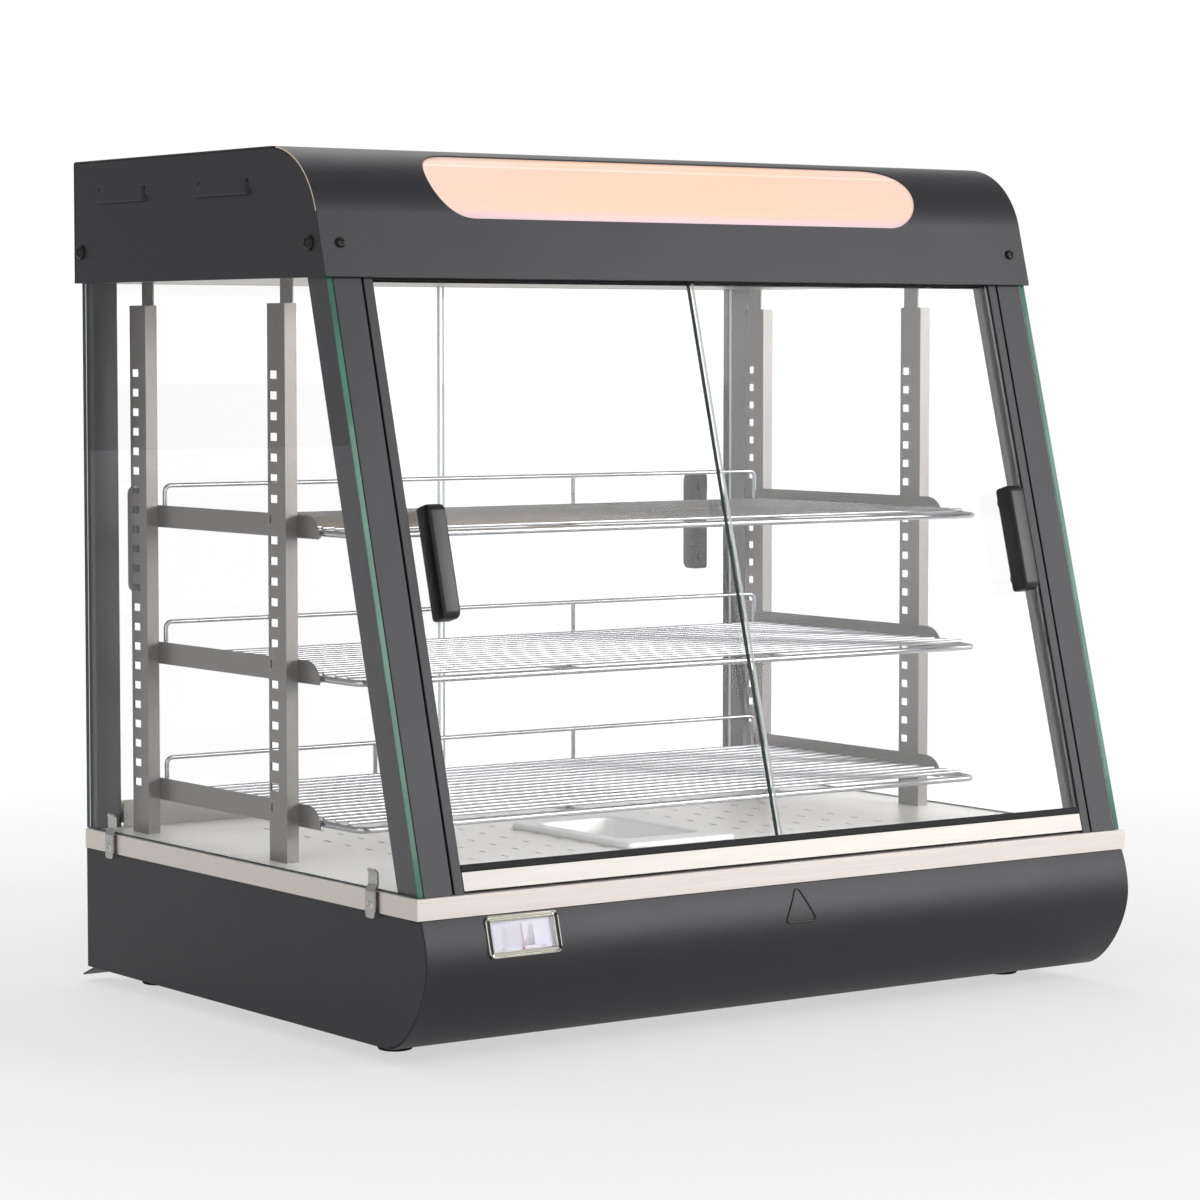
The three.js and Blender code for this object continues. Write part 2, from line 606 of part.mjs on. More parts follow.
function baseRearPanel() {
  const edge = BASE_HALF_WIDTH - SHEET - SEAT_GAP;
  const y0 = RIM_DEPTH - SHEET;
  const panel = box(-edge, edge, y0, RIM_DEPTH, FLOOR_Z + SHEET + SEAT_GAP, RIM_Z - SEAT_GAP);
  const through = [y0 - OVERRUN, RIM_DEPTH + OVERRUN];
  const z = FLOOR_Z + CONTROL_RISE;
  const shaftHole = KNOB_SHAFT_RADIUS + 2 * SHAFT_CLEARANCE;
  const glandHole = GLAND_NECK_RADIUS + SEAT_GAP;
  const halfX = switchBodyHalfX() + SEAT_GAP;
  const halfZ = switchBodyHalfZ() + SEAT_GAP;
  const ventX = -((REAR_VENT_COUNT - 1) * REAR_VENT_PITCH + REAR_VENT_WIDTH) / 2;
  const vents = Array.from({ length: REAR_VENT_COUNT }, (_, i) => {
    const x0 = ventX + i * REAR_VENT_PITCH;
    return box(x0, x0 + REAR_VENT_WIDTH, ...through, z - REAR_VENT_HEIGHT / 2, z + REAR_VENT_HEIGHT / 2);
  });
  return cut(
    panel,
    roundY(shaftHole, shaftHole, ...through, KNOB_X, z),
    roundY(glandHole, glandHole, ...through, GLAND_X, z),
    box(SWITCH_X - halfX, SWITCH_X + halfX, ...through, z - halfZ, z + halfZ),
    vents,
  );
}

function foot(x, y) {
  const profile = new THREE.Path();
  profile.moveTo(0, 0);
  profile.lineTo(FOOT_SOLE_RADIUS - FOOT_ROUNDING, 0);
  profile.quadraticCurveTo(FOOT_SOLE_RADIUS, 0, FOOT_SOLE_RADIUS, FOOT_ROUNDING);
  profile.lineTo(FOOT_RADIUS, FOOT_HEIGHT);
  profile.lineTo(0, FOOT_HEIGHT);
  const lathed = new THREE.LatheGeometry(profile.getPoints(BEND_STEPS / 2), ROUND_SIDES);
  return solidOf(lathed.rotateX(Math.PI / 2).translate(x, y, 0));
}

// The rim's outline, with its rear corners rounded.
function deckShape(inset) {
  const radius = RIM_REAR_CORNER - inset;
  const x = HALF_WIDTH - inset - radius;
  const y = RIM_DEPTH - inset - radius;
  const shape = new THREE.Shape();
  shape.moveTo(inset - HALF_WIDTH, inset);
  shape.lineTo(HALF_WIDTH - inset, inset);
  shape.absarc(x, y, radius, 0, Math.PI / 2, false);
  shape.absarc(-x, y, radius, Math.PI / 2, Math.PI, false);
  return shape;
}

// Rows of slots over the deck, apart from those that would lie under the pan.
function airSlots() {
  const slots = [];
  const columns = 1 + Math.floor((BODY_WIDTH - 2 * AIR_SLOT_SIDE_MARGIN) / AIR_SLOT_PITCH);
  const rows = 1 + Math.floor((RIM_DEPTH - AIR_SLOT_FIRST_Y - AIR_SLOT_REAR_MARGIN) / AIR_SLOT_PITCH);
  const halfX = AIR_SLOT_WIDTH / 2;
  const halfY = AIR_SLOT_LENGTH / 2;
  const through = [DECK_Z - SHEET - OVERRUN, DECK_Z + OVERRUN];
  const clearX = PAN_WIDTH / 2 + PAN_RIM + AIR_SLOT_WIDTH;
  const clearFront = PAN_FRONT_Y - PAN_RIM_FRONT - AIR_SLOT_LENGTH;
  const clearRear = PAN_FRONT_Y + PAN_LENGTH + PAN_RIM + AIR_SLOT_LENGTH;
  for (let row = 0; row < rows; row += 1) {
    for (let column = 0; column < columns; column += 1) {
      const x = AIR_SLOT_CENTRE_X + (column - (columns - 1) / 2) * AIR_SLOT_PITCH;
      const y = AIR_SLOT_FIRST_Y + row * AIR_SLOT_PITCH;
      const underPan = Math.abs(x - PAN_CENTRE_X) < clearX && y > clearFront && y < clearRear;
      if (!underPan) slots.push(box(x - halfX, x + halfX, y - halfY, y + halfY, ...through));
    }
  }
  return slots;
}

// The outline of the pan's body, grown by a margin.
function panShape(margin) {
  const halfX = PAN_WIDTH / 2 + margin;
  const halfY = PAN_LENGTH / 2 + margin;
  return roundedShape(halfX, halfY, PAN_CORNER + margin, PAN_CENTRE_X, PAN_FRONT_Y + PAN_LENGTH / 2);
}

// The outline of the pan's rim, drawn in by an inset.
function panRimShape(inset) {
  const halfX = PAN_WIDTH / 2 + PAN_RIM - inset;
  const length = PAN_RIM_FRONT + PAN_LENGTH + PAN_RIM;
  const centreY = PAN_FRONT_Y - PAN_RIM_FRONT + length / 2;
  return roundedShape(halfX, length / 2 - inset, PAN_RIM_CORNER - inset, PAN_CENTRE_X, centreY);
}

function deck() {
  return cut(
    prismZ(deckShape(0), RIM_Z, DECK_Z),
    prismZ(deckShape(SHEET), RIM_Z - OVERRUN, DECK_Z - SHEET),
    prismZ(panShape(PAN_CLEARANCE), DECK_Z - SHEET - OVERRUN, DECK_Z + OVERRUN),
    airSlots(),
  );
}

// A deep body with a rim folded out and down to the deck.
function waterPan() {
  const top = DECK_Z + PAN_RIM_HEIGHT;
  const bottom = DECK_Z - PAN_DEPTH;
  const rim = cut(
    prismZ(panRimShape(0), DECK_Z, top),
    prismZ(panRimShape(SHEET), DECK_Z - OVERRUN, top - SHEET),
  );
  const hollow = prismZ(panShape(-SHEET), bottom + SHEET, top + OVERRUN);
  return cut(join(rim, prismZ(panShape(0), bottom, top)), hollow);
}

// A U of tube round the water pan, with its two ends at the rear.
function heatingElement() {
  const line = new THREE.Path();
  const x = ELEMENT_HALF_SPAN;
  line.moveTo(-x, ELEMENT_REAR_Y);
  line.lineTo(-x, ELEMENT_FRONT_Y + ELEMENT_BEND);
  line.quadraticCurveTo(-x, ELEMENT_FRONT_Y, ELEMENT_BEND - x, ELEMENT_FRONT_Y);
  line.lineTo(x - ELEMENT_BEND, ELEMENT_FRONT_Y);
  line.quadraticCurveTo(x, ELEMENT_FRONT_Y, x, ELEMENT_FRONT_Y + ELEMENT_BEND);
  line.lineTo(x, ELEMENT_REAR_Y);
  const z = FLOOR_Z + SHEET + ELEMENT_RISE;
  const points = pointsOf(line, BEND_STEPS).map(([px, py]) => at(px, py, z));
  return bentRod(points, ELEMENT_RADIUS, UP_AXIS, false);
}

// Thermostat behind the rear panel, bored for the knob's shaft.
function thermostatBody() {
  const y1 = RIM_DEPTH - SHEET - SEAT_GAP;
  const y0 = y1 - THERMOSTAT_DEPTH;
  const half = THERMOSTAT_WIDTH / 2;
  const z = FLOOR_Z + CONTROL_RISE;
  const bore = KNOB_SHAFT_RADIUS + SHAFT_CLEARANCE;
  const body = box(KNOB_X - half, KNOB_X + half, y0, y1, z - half, z + half);
  const shaftEnd = RIM_DEPTH - KNOB_SHAFT_LENGTH;
  return cut(body, roundY(bore, bore, shaftEnd - SEAT_GAP, y1 + OVERRUN, KNOB_X, z));
}

// Knob with a finger ridge, and the shaft that turns with it.
function thermostatKnob() {
  const z = FLOOR_Z + CONTROL_RISE;
  const y0 = RIM_DEPTH + SEAT_GAP;
  const y1 = y0 + KNOB_HEIGHT;
  const ridgeBase = y0 + KNOB_HEIGHT / 2;
  const halfX = KNOB_RIDGE_WIDTH / 2;
  const halfZ = KNOB_TOP_RADIUS - WELD;
  return join(
    roundY(KNOB_RADIUS, KNOB_TOP_RADIUS, y0, ridgeBase, KNOB_X, z),
    box(KNOB_X - halfX, KNOB_X + halfX, ridgeBase - WELD, y1, z - halfZ, z + halfZ),
    roundY(KNOB_SHAFT_RADIUS, KNOB_SHAFT_RADIUS, RIM_DEPTH - KNOB_SHAFT_LENGTH, y0 + WELD, KNOB_X, z),
  );
}

function switchBodyHalfX() {
  return ROCKER_WIDTH / 2 + ROCKER_SIDE_CLEARANCE + SWITCH_BODY_WALL;
}

function switchBodyHalfZ() {
  return ROCKER_LENGTH / 2 + ROCKER_END_CLEARANCE + SWITCH_BODY_WALL;
}

function switchFrame() {
  const z = FLOOR_Z + CONTROL_RISE;
  const halfX = switchBodyHalfX();
  const halfZ = switchBodyHalfZ();
  const wall = SWITCH_BODY_WALL;
  const bezelBack = RIM_DEPTH + SEAT_GAP;
  const bezelFront = bezelBack + SWITCH_BEZEL_PROUD;
  const y0 = RIM_DEPTH - SWITCH_BODY_DEPTH;
  const block = (margin, back, front) => {
    const x = halfX + margin;
    return box(SWITCH_X - x, SWITCH_X + x, back, front, z - halfZ - margin, z + halfZ + margin);
  };
  const frame = join(block(0, y0, bezelBack + WELD), block(SWITCH_BEZEL, bezelBack, bezelFront));
  return cut(frame, block(-wall, y0 + wall, bezelFront + OVERRUN));
}

// The rocker at rest, tilted to its off side. Its pivot is in the middle of the panel's opening.
function lampRocker() {
  const half = ROCKER_LENGTH / 2;
  const back = half - ROCKER_TAPER;
  const tilt = THREE.MathUtils.degToRad(ROCKER_TILT_DEGREES);
  const level = [
    [-ROCKER_DEPTH, -back], [ROCKER_END_RISE, -half], [ROCKER_MIDDLE_RISE, 0],
    [ROCKER_END_RISE, half], [-ROCKER_DEPTH, back],
  ];
  const outline = level.map(([y, z]) => {
    const turnedY = y * Math.cos(tilt) - z * Math.sin(tilt);
    const turnedZ = y * Math.sin(tilt) + z * Math.cos(tilt);
    return [RIM_DEPTH + SWITCH_BEZEL_PROUD + turnedY, FLOOR_Z + CONTROL_RISE + turnedZ];
  });
  return prismX(outline, SWITCH_X - ROCKER_WIDTH / 2, SWITCH_X + ROCKER_WIDTH / 2);
}

// Cord inlet: a bushing through the rear panel with a nut inside. Its bore is empty.
function cordGland() {
  const z = FLOOR_Z + CONTROL_RISE;
  const inside = RIM_DEPTH - SHEET - SEAT_GAP;
  const outside = RIM_DEPTH + SEAT_GAP;
  const dome = GLAND_DOME_RADIUS;
  const neck = GLAND_NECK_RADIUS;
  const nut = GLAND_NUT_RADIUS;
  const bore = GLAND_BORE_RADIUS;
  const end = outside + GLAND_DOME_LENGTH;
  return cut(
    join(
      roundY(nut, nut, inside - GLAND_NUT_LENGTH, inside, GLAND_X, z, WIRE_SIDES),
      roundY(neck, neck, inside - WELD, outside + WELD, GLAND_X, z),
      roundY(dome, neck, outside, end, GLAND_X, z),
    ),
    roundY(bore, bore, inside - GLAND_NUT_LENGTH - OVERRUN, end + OVERRUN, GLAND_X, z),
  );
}

// A point by its depth behind the tilted dial's face and its rise above the bezel's top edge.
function dialPoint(depth, rise) {
  const y = rise * Math.sin(DIAL_TILT) + depth * Math.cos(DIAL_TILT) - DIAL_PROUD;
  return [y, DIAL_TOP_Z + rise * Math.cos(DIAL_TILT) - depth * Math.sin(DIAL_TILT)];
}

function baseFrontPanel() {
  const sheet = prismX(sheetOutline(basePanelRun(), SHEET), -BASE_HALF_WIDTH, BASE_HALF_WIDTH);
  const half = DIAL_WIDTH / 2 + SEAT_GAP;
  const bottom = -DIAL_HEIGHT - SEAT_GAP;
  const back = DIAL_BODY_DEPTH + OVERRUN;
  const opening = [
    dialPoint(-OVERRUN, SEAT_GAP), dialPoint(back, SEAT_GAP), dialPoint(back, bottom),
    dialPoint(-OVERRUN, bottom),
  ];
  return cut(sheet, prismX(opening, DIAL_CENTRE_X - half, DIAL_CENTRE_X + half));
}

// The thermometer's pieces have their own axes: X from the middle, Y depth behind the face and
// Z up from the bezel's top edge. This one is bezel and body, with a pocket for dial and lens.
function thermometerCase() {
  const half = DIAL_WIDTH / 2;
  const rim = DIAL_BEZEL;
  const pocket = box(rim - half, half - rim, -OVERRUN, DIAL_POCKET, rim - DIAL_HEIGHT, -rim);
  const axle = [POINTER_AXLE_RADIUS, POINTER_AXLE_RADIUS, POINTER_FACE - WELD, DIAL_POCKET + WELD];
  return join(
    cut(box(-half, half, 0, DIAL_BODY_DEPTH, -DIAL_HEIGHT, 0), pocket),
    roundY(...axle, 0, POINTER_PIVOT, SCREW_SIDES),
  );
}

function thermometerPointer() {
  const y0 = POINTER_FACE;
  const y1 = y0 + POINTER_THICKNESS;
  const half = POINTER_WIDTH / 2;
  const needle = [[-half, POINTER_PIVOT], [half, POINTER_PIVOT], [0, POINTER_PIVOT + POINTER_LENGTH]];
  const hub = POINTER_HUB_RADIUS;
  const bore = POINTER_AXLE_RADIUS + SEAT_GAP;
  return cut(
    join(prismY(needle, y0, y1), roundY(hub, hub, y0, y1, 0, POINTER_PIVOT, SCREW_SIDES)),
    roundY(bore, bore, y0 - OVERRUN, y1 + OVERRUN, 0, POINTER_PIVOT, SCREW_SIDES),
  );
}

function thermometerLens() {
  const rim = DIAL_BEZEL + SEAT_GAP;
  const half = DIAL_WIDTH / 2 - rim;
  return box(-half, half, SEAT_GAP, SEAT_GAP + DIAL_LENS, rim - DIAL_HEIGHT, -rim);
}

function thermometer() {
  const group = new THREE.Group();
  group.position.set(DIAL_CENTRE_X, -DIAL_PROUD, DIAL_TOP_Z);
  group.rotation.x = -DIAL_TILT;
  group.add(
    mesh('thermometer_case', thermometerCase(), CHROME),
    mesh('thermometer_pointer', thermometerPointer(), NEEDLE),
    mesh('thermometer_lens', thermometerLens(), GLASS),
  );
  return group;
}

function base() {
  const pieces = [
    mesh('base_tray', baseTray(), COAT),
    mesh('base_front_panel', baseFrontPanel(), COAT),
    mesh('base_rear_panel', baseRearPanel(), COAT),
    mesh('deck', deck(), STEEL),
    mesh('water_pan', waterPan(), STEEL),
    mesh('heating_element', heatingElement(), STEEL),
    mesh('thermostat_body', thermostatBody(), PLASTIC),
    mesh('thermostat_knob', thermostatKnob(), PLASTIC),
    mesh('switch_frame', switchFrame(), PLASTIC),
    mesh('lamp_rocker', lampRocker(), PLASTIC),
    mesh('cord_gland', cordGland(), PLASTIC),
    thermometer(),
  ];
  for (const [side, sign] of [['left', -1], ['right', 1]]) {
    for (const [end, y] of [['front', FOOT_FRONT_Y], ['rear', FOOT_REAR_Y]]) {
      pieces.push(mesh(`foot_${end}_${side}`, foot(sign * FOOT_X, y), RUBBER));
    }
  }
  return pieces;
}

function sidePane(sign) {
  const bottom = DECK_Z + SEAT_GAP;
  const top = LIP_Z + PANE_TUCK;
  const outline = [[slopeY(bottom), bottom], [PANE_REAR_Y, bottom], [PANE_REAR_Y, top], [slopeY(top), top]];
  return prismX(outline, ...ordered(sign * PANE_INNER_X, sign * PANE_OUTER_X));
}

function ordered(a, b) {
  return [Math.min(a, b), Math.max(a, b)];
}

// A bent strip: flat on the rim, stepped in to the pane, flared at its top, with its screw.
function paneClip(sign, y) {
  const onRim = HALF_WIDTH + SEAT_GAP;
  const onPane = PANE_OUTER_X + SEAT_GAP;
  const grip = DECK_Z + CLIP_GRIP;
  const run = [
    [onRim, RIM_Z - CLIP_BELOW_RIM], [onRim, DECK_Z + WELD], [onPane, DECK_Z + CLIP_JOG],
    [onPane, grip], [onPane + CLIP_FLARE, grip + CLIP_FLARE_RISE],
  ];
  const strip = sheetOutline(run, -SHEET).map(([x, z]) => [sign * x, z]);
  const head = onRim + SHEET;
  const screw = ordered(sign * (head - WELD), sign * (head + CLIP_SCREW_HEAD));
  return join(
    prismY(strip, y - CLIP_WIDTH / 2, y + CLIP_WIDTH / 2),
    roundX(CLIP_SCREW_RADIUS, ...screw, y, RIM_Z + CLIP_SCREW_RISE, SCREW_SIDES),
  );
}

// Sloped box post and, past a narrow slit, the channel that takes the closed door's edge.
function frontPost(sign) {
  const bottom = DECK_Z;
  const top = LIP_Z + POST_TUCK;
  const bar = (xa, xb, depth0, depth1, over) => {
    const [x0, x1] = ordered(sign * xa, sign * xb);
    return slopeBar(x0, x1, depth0, depth1, bottom - over, top + over);
  };
  const outer = PANE_INNER_X - SEAT_GAP;
  const post = cut(
    bar(POST_INNER_X, outer, 0, POST_DEPTH, 0),
    bar(POST_INNER_X + POST_WALL, outer - POST_WALL, POST_WALL, POST_DEPTH - POST_WALL, OVERRUN),
  );
  const jamb = cut(
    bar(JAMB_INNER_X, JAMB_OUTER_X, 0, TRACK_DEPTH, 0),
    bar(JAMB_INNER_X - OVERRUN, JAMB_OUTER_X - SHEET, TRACK_WALL, TRACK_DEPTH - TRACK_WALL, OVERRUN),
  );
  const bridge = bar(JAMB_OUTER_X - WELD, POST_INNER_X + WELD, JAMB_BRIDGE_DEPTH, 2 * JAMB_BRIDGE_DEPTH, 0);
  return join(post, jamb, bridge);
}

function rearPost(sign) {
  const outer = PANE_INNER_X - SEAT_GAP;
  const [x0, x1] = ordered(sign * REAR_POST_INNER_X, sign * outer);
  const y0 = PANE_REAR_Y - REAR_POST_DEPTH;
  const top = LIP_Z + POST_TUCK;
  const wall = POST_WALL;
  const hollow = box(x0 + wall, x1 - wall, y0 + wall, PANE_REAR_Y - wall, DECK_Z - OVERRUN, top + OVERRUN);
  return cut(box(x0, x1, y0, PANE_REAR_Y, DECK_Z, top), hollow);
}

// A folded sill: low front face, level top in the slope's own plane, and a rear leg on the deck.
function frontSill() {
  const foot = DECK_Z + SILL_FOOT_GAP;
  const half = JAMB_INNER_X - SEAT_GAP;
  const nose = slant(0, SILL_SLANT);
  const heel = slant(TRACK_DEPTH, SILL_SLANT);
  const face = [[slopeY(foot), foot], nose, slant(SHEET, SILL_SLANT), [slopeY(foot, SHEET), foot]];
  const top = [nose, heel, slant(TRACK_DEPTH, SILL_SLANT - SHEET), slant(0, SILL_SLANT - SHEET)];
  const rear = [
    slant(TRACK_DEPTH - SHEET, SILL_SLANT), heel,
    [slopeY(DECK_Z, TRACK_DEPTH), DECK_Z], [slopeY(DECK_Z, TRACK_DEPTH - SHEET), DECK_Z],
  ];
  return join([face, top, rear].map((outline) => prismX(outline, -half, half)));
}

// Where a door groove begins, and where the glass in it begins. Groove 0 is the outer one.
function grooveDepth(index) {
  return TRACK_WALL + index * (GROOVE + TRACK_WALL);
}

function glassDepth(index) {
  return grooveDepth(index) + DOOR_PLAY;
}

// Two-groove track as [depth0, depth1, rise0, rise1] bands: a floor strip and three rails.
function trackBands(floor, tip) {
  const edge = floor + Math.sign(tip - floor) * TRACK_WALL;
  const rail = (depth) => [depth, depth + TRACK_WALL, ...ordered(edge - Math.sign(tip - floor) * WELD, tip)];
  const strip = [0, TRACK_DEPTH, ...ordered(floor, edge)];
  return [strip, rail(0), rail(grooveDepth(1) - TRACK_WALL), rail(TRACK_DEPTH - TRACK_WALL)];
}

function bandsAlong(bands, half) {
  return bands.map(([depth0, depth1, rise0, rise1]) => box(-half, half, depth0, depth1, rise0, rise1));
}

// A solid bar grip on two round bosses. Its local Y is depth, so it reaches out to negative Y.
function handle(x, glassFace, centreRise) {
  const half = HANDLE_LENGTH / 2 - HANDLE_EDGE;
  const back = -HANDLE_EDGE;
  const front = HANDLE_EDGE - HANDLE_DEPTH;
  const outer = HANDLE_OUTER_ROUND;
  const inner = HANDLE_INNER_ROUND;
  const shape = new THREE.Shape();
  shape.moveTo(back, inner - half);
  shape.lineTo(back, half - inner);
  shape.quadraticCurveTo(back, half, back - inner, half);
  shape.lineTo(front + outer, half);
  shape.quadraticCurveTo(front, half, front, half - outer);
  shape.lineTo(front, outer - half);
  shape.quadraticCurveTo(front, -half, front + outer, -half);
  shape.lineTo(back - inner, -half);
  shape.quadraticCurveTo(back, -half, back, inner - half);
  const settings = {
    depth: HANDLE_WIDTH - 2 * HANDLE_EDGE, bevelEnabled: true, bevelSize: HANDLE_EDGE,
    bevelThickness: HANDLE_EDGE, bevelSegments: 1, curveSegments: BEND_STEPS / 2,
  };
  const grip = new THREE.ExtrudeGeometry(shape, settings).applyMatrix4(ALONG_X);
  const seat = glassFace - SEAT_GAP;
  grip.translate(x + HANDLE_EDGE - HANDLE_WIDTH / 2, seat - HANDLE_BOSS_LENGTH, centreRise);
  const bosses = [-1, 1].map((end) => {
    const z = centreRise + end * (HANDLE_LENGTH / 2 - HANDLE_BOSS_INSET);
    const y0 = seat - HANDLE_BOSS_LENGTH - WELD;
    return roundY(HANDLE_BOSS_RADIUS, HANDLE_BOSS_RADIUS, y0, seat, x, z, SCREW_SIDES);
  });
  return join(solidOf(grip), bosses);
}

// A pair of sliding doors in a door plane's own axes: X along, Y depth behind the plane, Z up it.
// The pane at negative X runs in the inner groove, the other in the outer groove.
function doorPair(unit) {
  const { limit, ajar, opening, inset, centreRise, sill } = unit;
  const width = limit + (DOOR_OVERLAP - ajar) / 2;
  const bottom = sill + TRACK_WALL + DOOR_PLAY;
  const top = opening + TOP_TRACK_ENGAGE;
  const pane = (x0, groove) => {
    const depth = glassDepth(groove);
    return box(x0, x0 + width, depth, depth + DOOR_THICKNESS, bottom, top);
  };
  const outerX = limit - ajar - width;
  return {
    innerPane: pane(-limit, 1),
    outerPane: pane(outerX, 0),
    innerHandle: handle(inset - limit, glassDepth(1), centreRise),
    outerHandle: handle(outerX + width - inset, glassDepth(0), centreRise),
  };
}

function frontUnit() {
  const group = new THREE.Group();
  group.position.set(0, SLOPE_FOOT_Y, DECK_Z);
  group.rotation.x = -SLOPE;
  const sill = SILL_SLANT + SEAT_GAP;
  const opening = CABIN_HEIGHT / Math.cos(SLOPE);
  const pair = doorPair({
    limit: JAMB_OUTER_X - SHEET - DOOR_EDGE_CLEARANCE, ajar: FRONT_DOOR_AJAR, opening, sill,
    inset: FRONT_HANDLE_INSET, centreRise: HANDLE_CENTRE_RISE / Math.cos(SLOPE),
  });
  const half = JAMB_INNER_X - SEAT_GAP;
  const lower = bandsAlong(trackBands(sill, sill + TRACK_WALL + TRACK_RAIL_HEIGHT), half);
  const ceiling = opening + TOP_TRACK_DROP + TRACK_WALL;
  const upper = bandsAlong(trackBands(ceiling, opening), half);
  const pad = box(-half, half, -TOP_TRACK_FRONT_PAD, WELD, opening, ceiling);
  group.add(
    mesh('front_lower_track', join(lower), PLASTIC),
    mesh('front_upper_track', join(upper, pad), PLASTIC),
    mesh('front_door_left', pair.innerPane, GLASS),
    mesh('front_door_right', pair.outerPane, GLASS),
    mesh('front_handle_left', pair.innerHandle, PLASTIC),
    mesh('front_handle_right', pair.outerHandle, PLASTIC),
  );
  return group;
}

function rearTrackHalf() {
  return REAR_POST_INNER_X - SEAT_GAP;
}

function rearUnit() {
  const group = new THREE.Group();
  group.position.set(0, REAR_PLANE_Y, DECK_Z);
  group.rotation.z = Math.PI;
  const pair = doorPair({
    limit: REAR_POST_INNER_X - DOOR_EDGE_CLEARANCE, ajar: 0, opening: CABIN_HEIGHT, sill: SILL_RISE,
    inset: REAR_HANDLE_INSET, centreRise: HANDLE_CENTRE_RISE,
  });
  const half = rearTrackHalf();
  const sill = [
    box(-half, half, 0, SHEET, SILL_FOOT_GAP, SILL_RISE),
    box(-half, half, 0, TRACK_DEPTH, SILL_RISE - SHEET, SILL_RISE + WELD),
    box(-half, half, TRACK_DEPTH - SHEET, TRACK_DEPTH, 0, SILL_RISE),
  ];
  const track = bandsAlong(trackBands(SILL_RISE, SILL_RISE + TRACK_WALL + TRACK_RAIL_HEIGHT), half);
  group.add(
    mesh('rear_lower_track', join(sill, track), STEEL),
    mesh('rear_door_right', pair.innerPane, GLASS),
    mesh('rear_door_left', pair.outerPane, GLASS),
    mesh('rear_handle_right', pair.innerHandle, PLASTIC),
    mesh('rear_handle_left', pair.outerHandle, PLASTIC),
  );
  return group;
}

// A slotted channel, open to the rear, with the tongue that meets the ceiling.
function upright(sign, webY) {
  const top = UPRIGHT_TOP_Z;
  const rear = webY + UPRIGHT_FLANGE;
  const across = ordered(sign * UPRIGHT_INNER_X, sign * UPRIGHT_OUTER_X);
  const hollow = ordered(sign * (UPRIGHT_INNER_X + SHEET), sign * (UPRIGHT_OUTER_X - SHEET));
  const tongue = ordered(sign * UPRIGHT_INNER_X, sign * (UPRIGHT_INNER_X + SHEET));
  const tongueY = webY + (UPRIGHT_FLANGE - UPRIGHT_TONGUE_WIDTH) / 2;
  const slotY = webY + HOOK_SLOT_SETBACK;
  const slots = Array.from({ length: SLOT_PITCHES + 1 }, (_, i) => {
    const z = FIRST_SLOT_Z - i * HOOK_SLOT_PITCH;
    const halfY = HOOK_SLOT_LENGTH / 2;
    const halfZ = HOOK_SLOT_HEIGHT / 2;
    return box(across[0] - OVERRUN, across[1] + OVERRUN, slotY - halfY, slotY + halfY, z - halfZ, z + halfZ);
  });
  const bar = box(...across, webY, rear, DECK_Z, top);
  const inside = box(...hollow, webY + SHEET, rear + OVERRUN, DECK_Z - OVERRUN, top + OVERRUN);
  const tab = box(...tongue, tongueY, tongueY + UPRIGHT_TONGUE_WIDTH, top - WELD, LIP_Z);
  return cut(join(cut(bar, inside), tab), slots);
}

// The bottom edge of a bracket whose hooks sit in the slot at a share of the way down from the first.
function bracketBottom(share) {
  return FIRST_SLOT_Z - Math.round(share * SLOT_PITCHES) * HOOK_SLOT_PITCH - BRACKET_HOOK_RISE;
}

// An angle bracket with a rounded nose at the front and a hook for each upright.
function bracket(sign, share) {
  const bottom = bracketBottom(share);
  const top = bottom + BRACKET_HEIGHT;
  const noseEnd = BRACKET_NOSE_Y + BRACKET_NOSE_LENGTH;
  const line = new THREE.Shape();
  line.moveTo(BRACKET_REAR_Y, bottom);
  line.lineTo(BRACKET_REAR_Y, top);
  line.lineTo(noseEnd, top);
  line.quadraticCurveTo(BRACKET_NOSE_Y + BRACKET_NOSE_LIP, top, BRACKET_NOSE_Y, bottom + BRACKET_NOSE_LIP);
  line.lineTo(BRACKET_NOSE_Y, bottom);
  const across = ordered(sign * BRACKET_INNER_X, sign * BRACKET_OUTER_X);
  const ledge = ordered(sign * (BRACKET_INNER_X - BRACKET_LEDGE), sign * (BRACKET_INNER_X + WELD));
  const hook = ordered(sign * (BRACKET_OUTER_X - WELD), sign * (BRACKET_OUTER_X + BRACKET_HOOK_REACH));
  const hooks = [UPRIGHT_FRONT_Y, UPRIGHT_REAR_Y].map((webY) => {
    const y = webY + HOOK_SLOT_SETBACK;
    const z = bottom + BRACKET_HOOK_RISE;
    const halfY = BRACKET_HOOK_LENGTH / 2;
    const halfZ = BRACKET_HOOK_HEIGHT / 2;
    return box(...hook, y - halfY, y + halfY, z - halfZ, z + halfZ);
  });
  return join(
    prismX(pointsOf(line, BEND_STEPS), ...across),
    box(...ledge, noseEnd, BRACKET_REAR_Y, bottom, bottom + SHEET),
    hooks,
  );
}

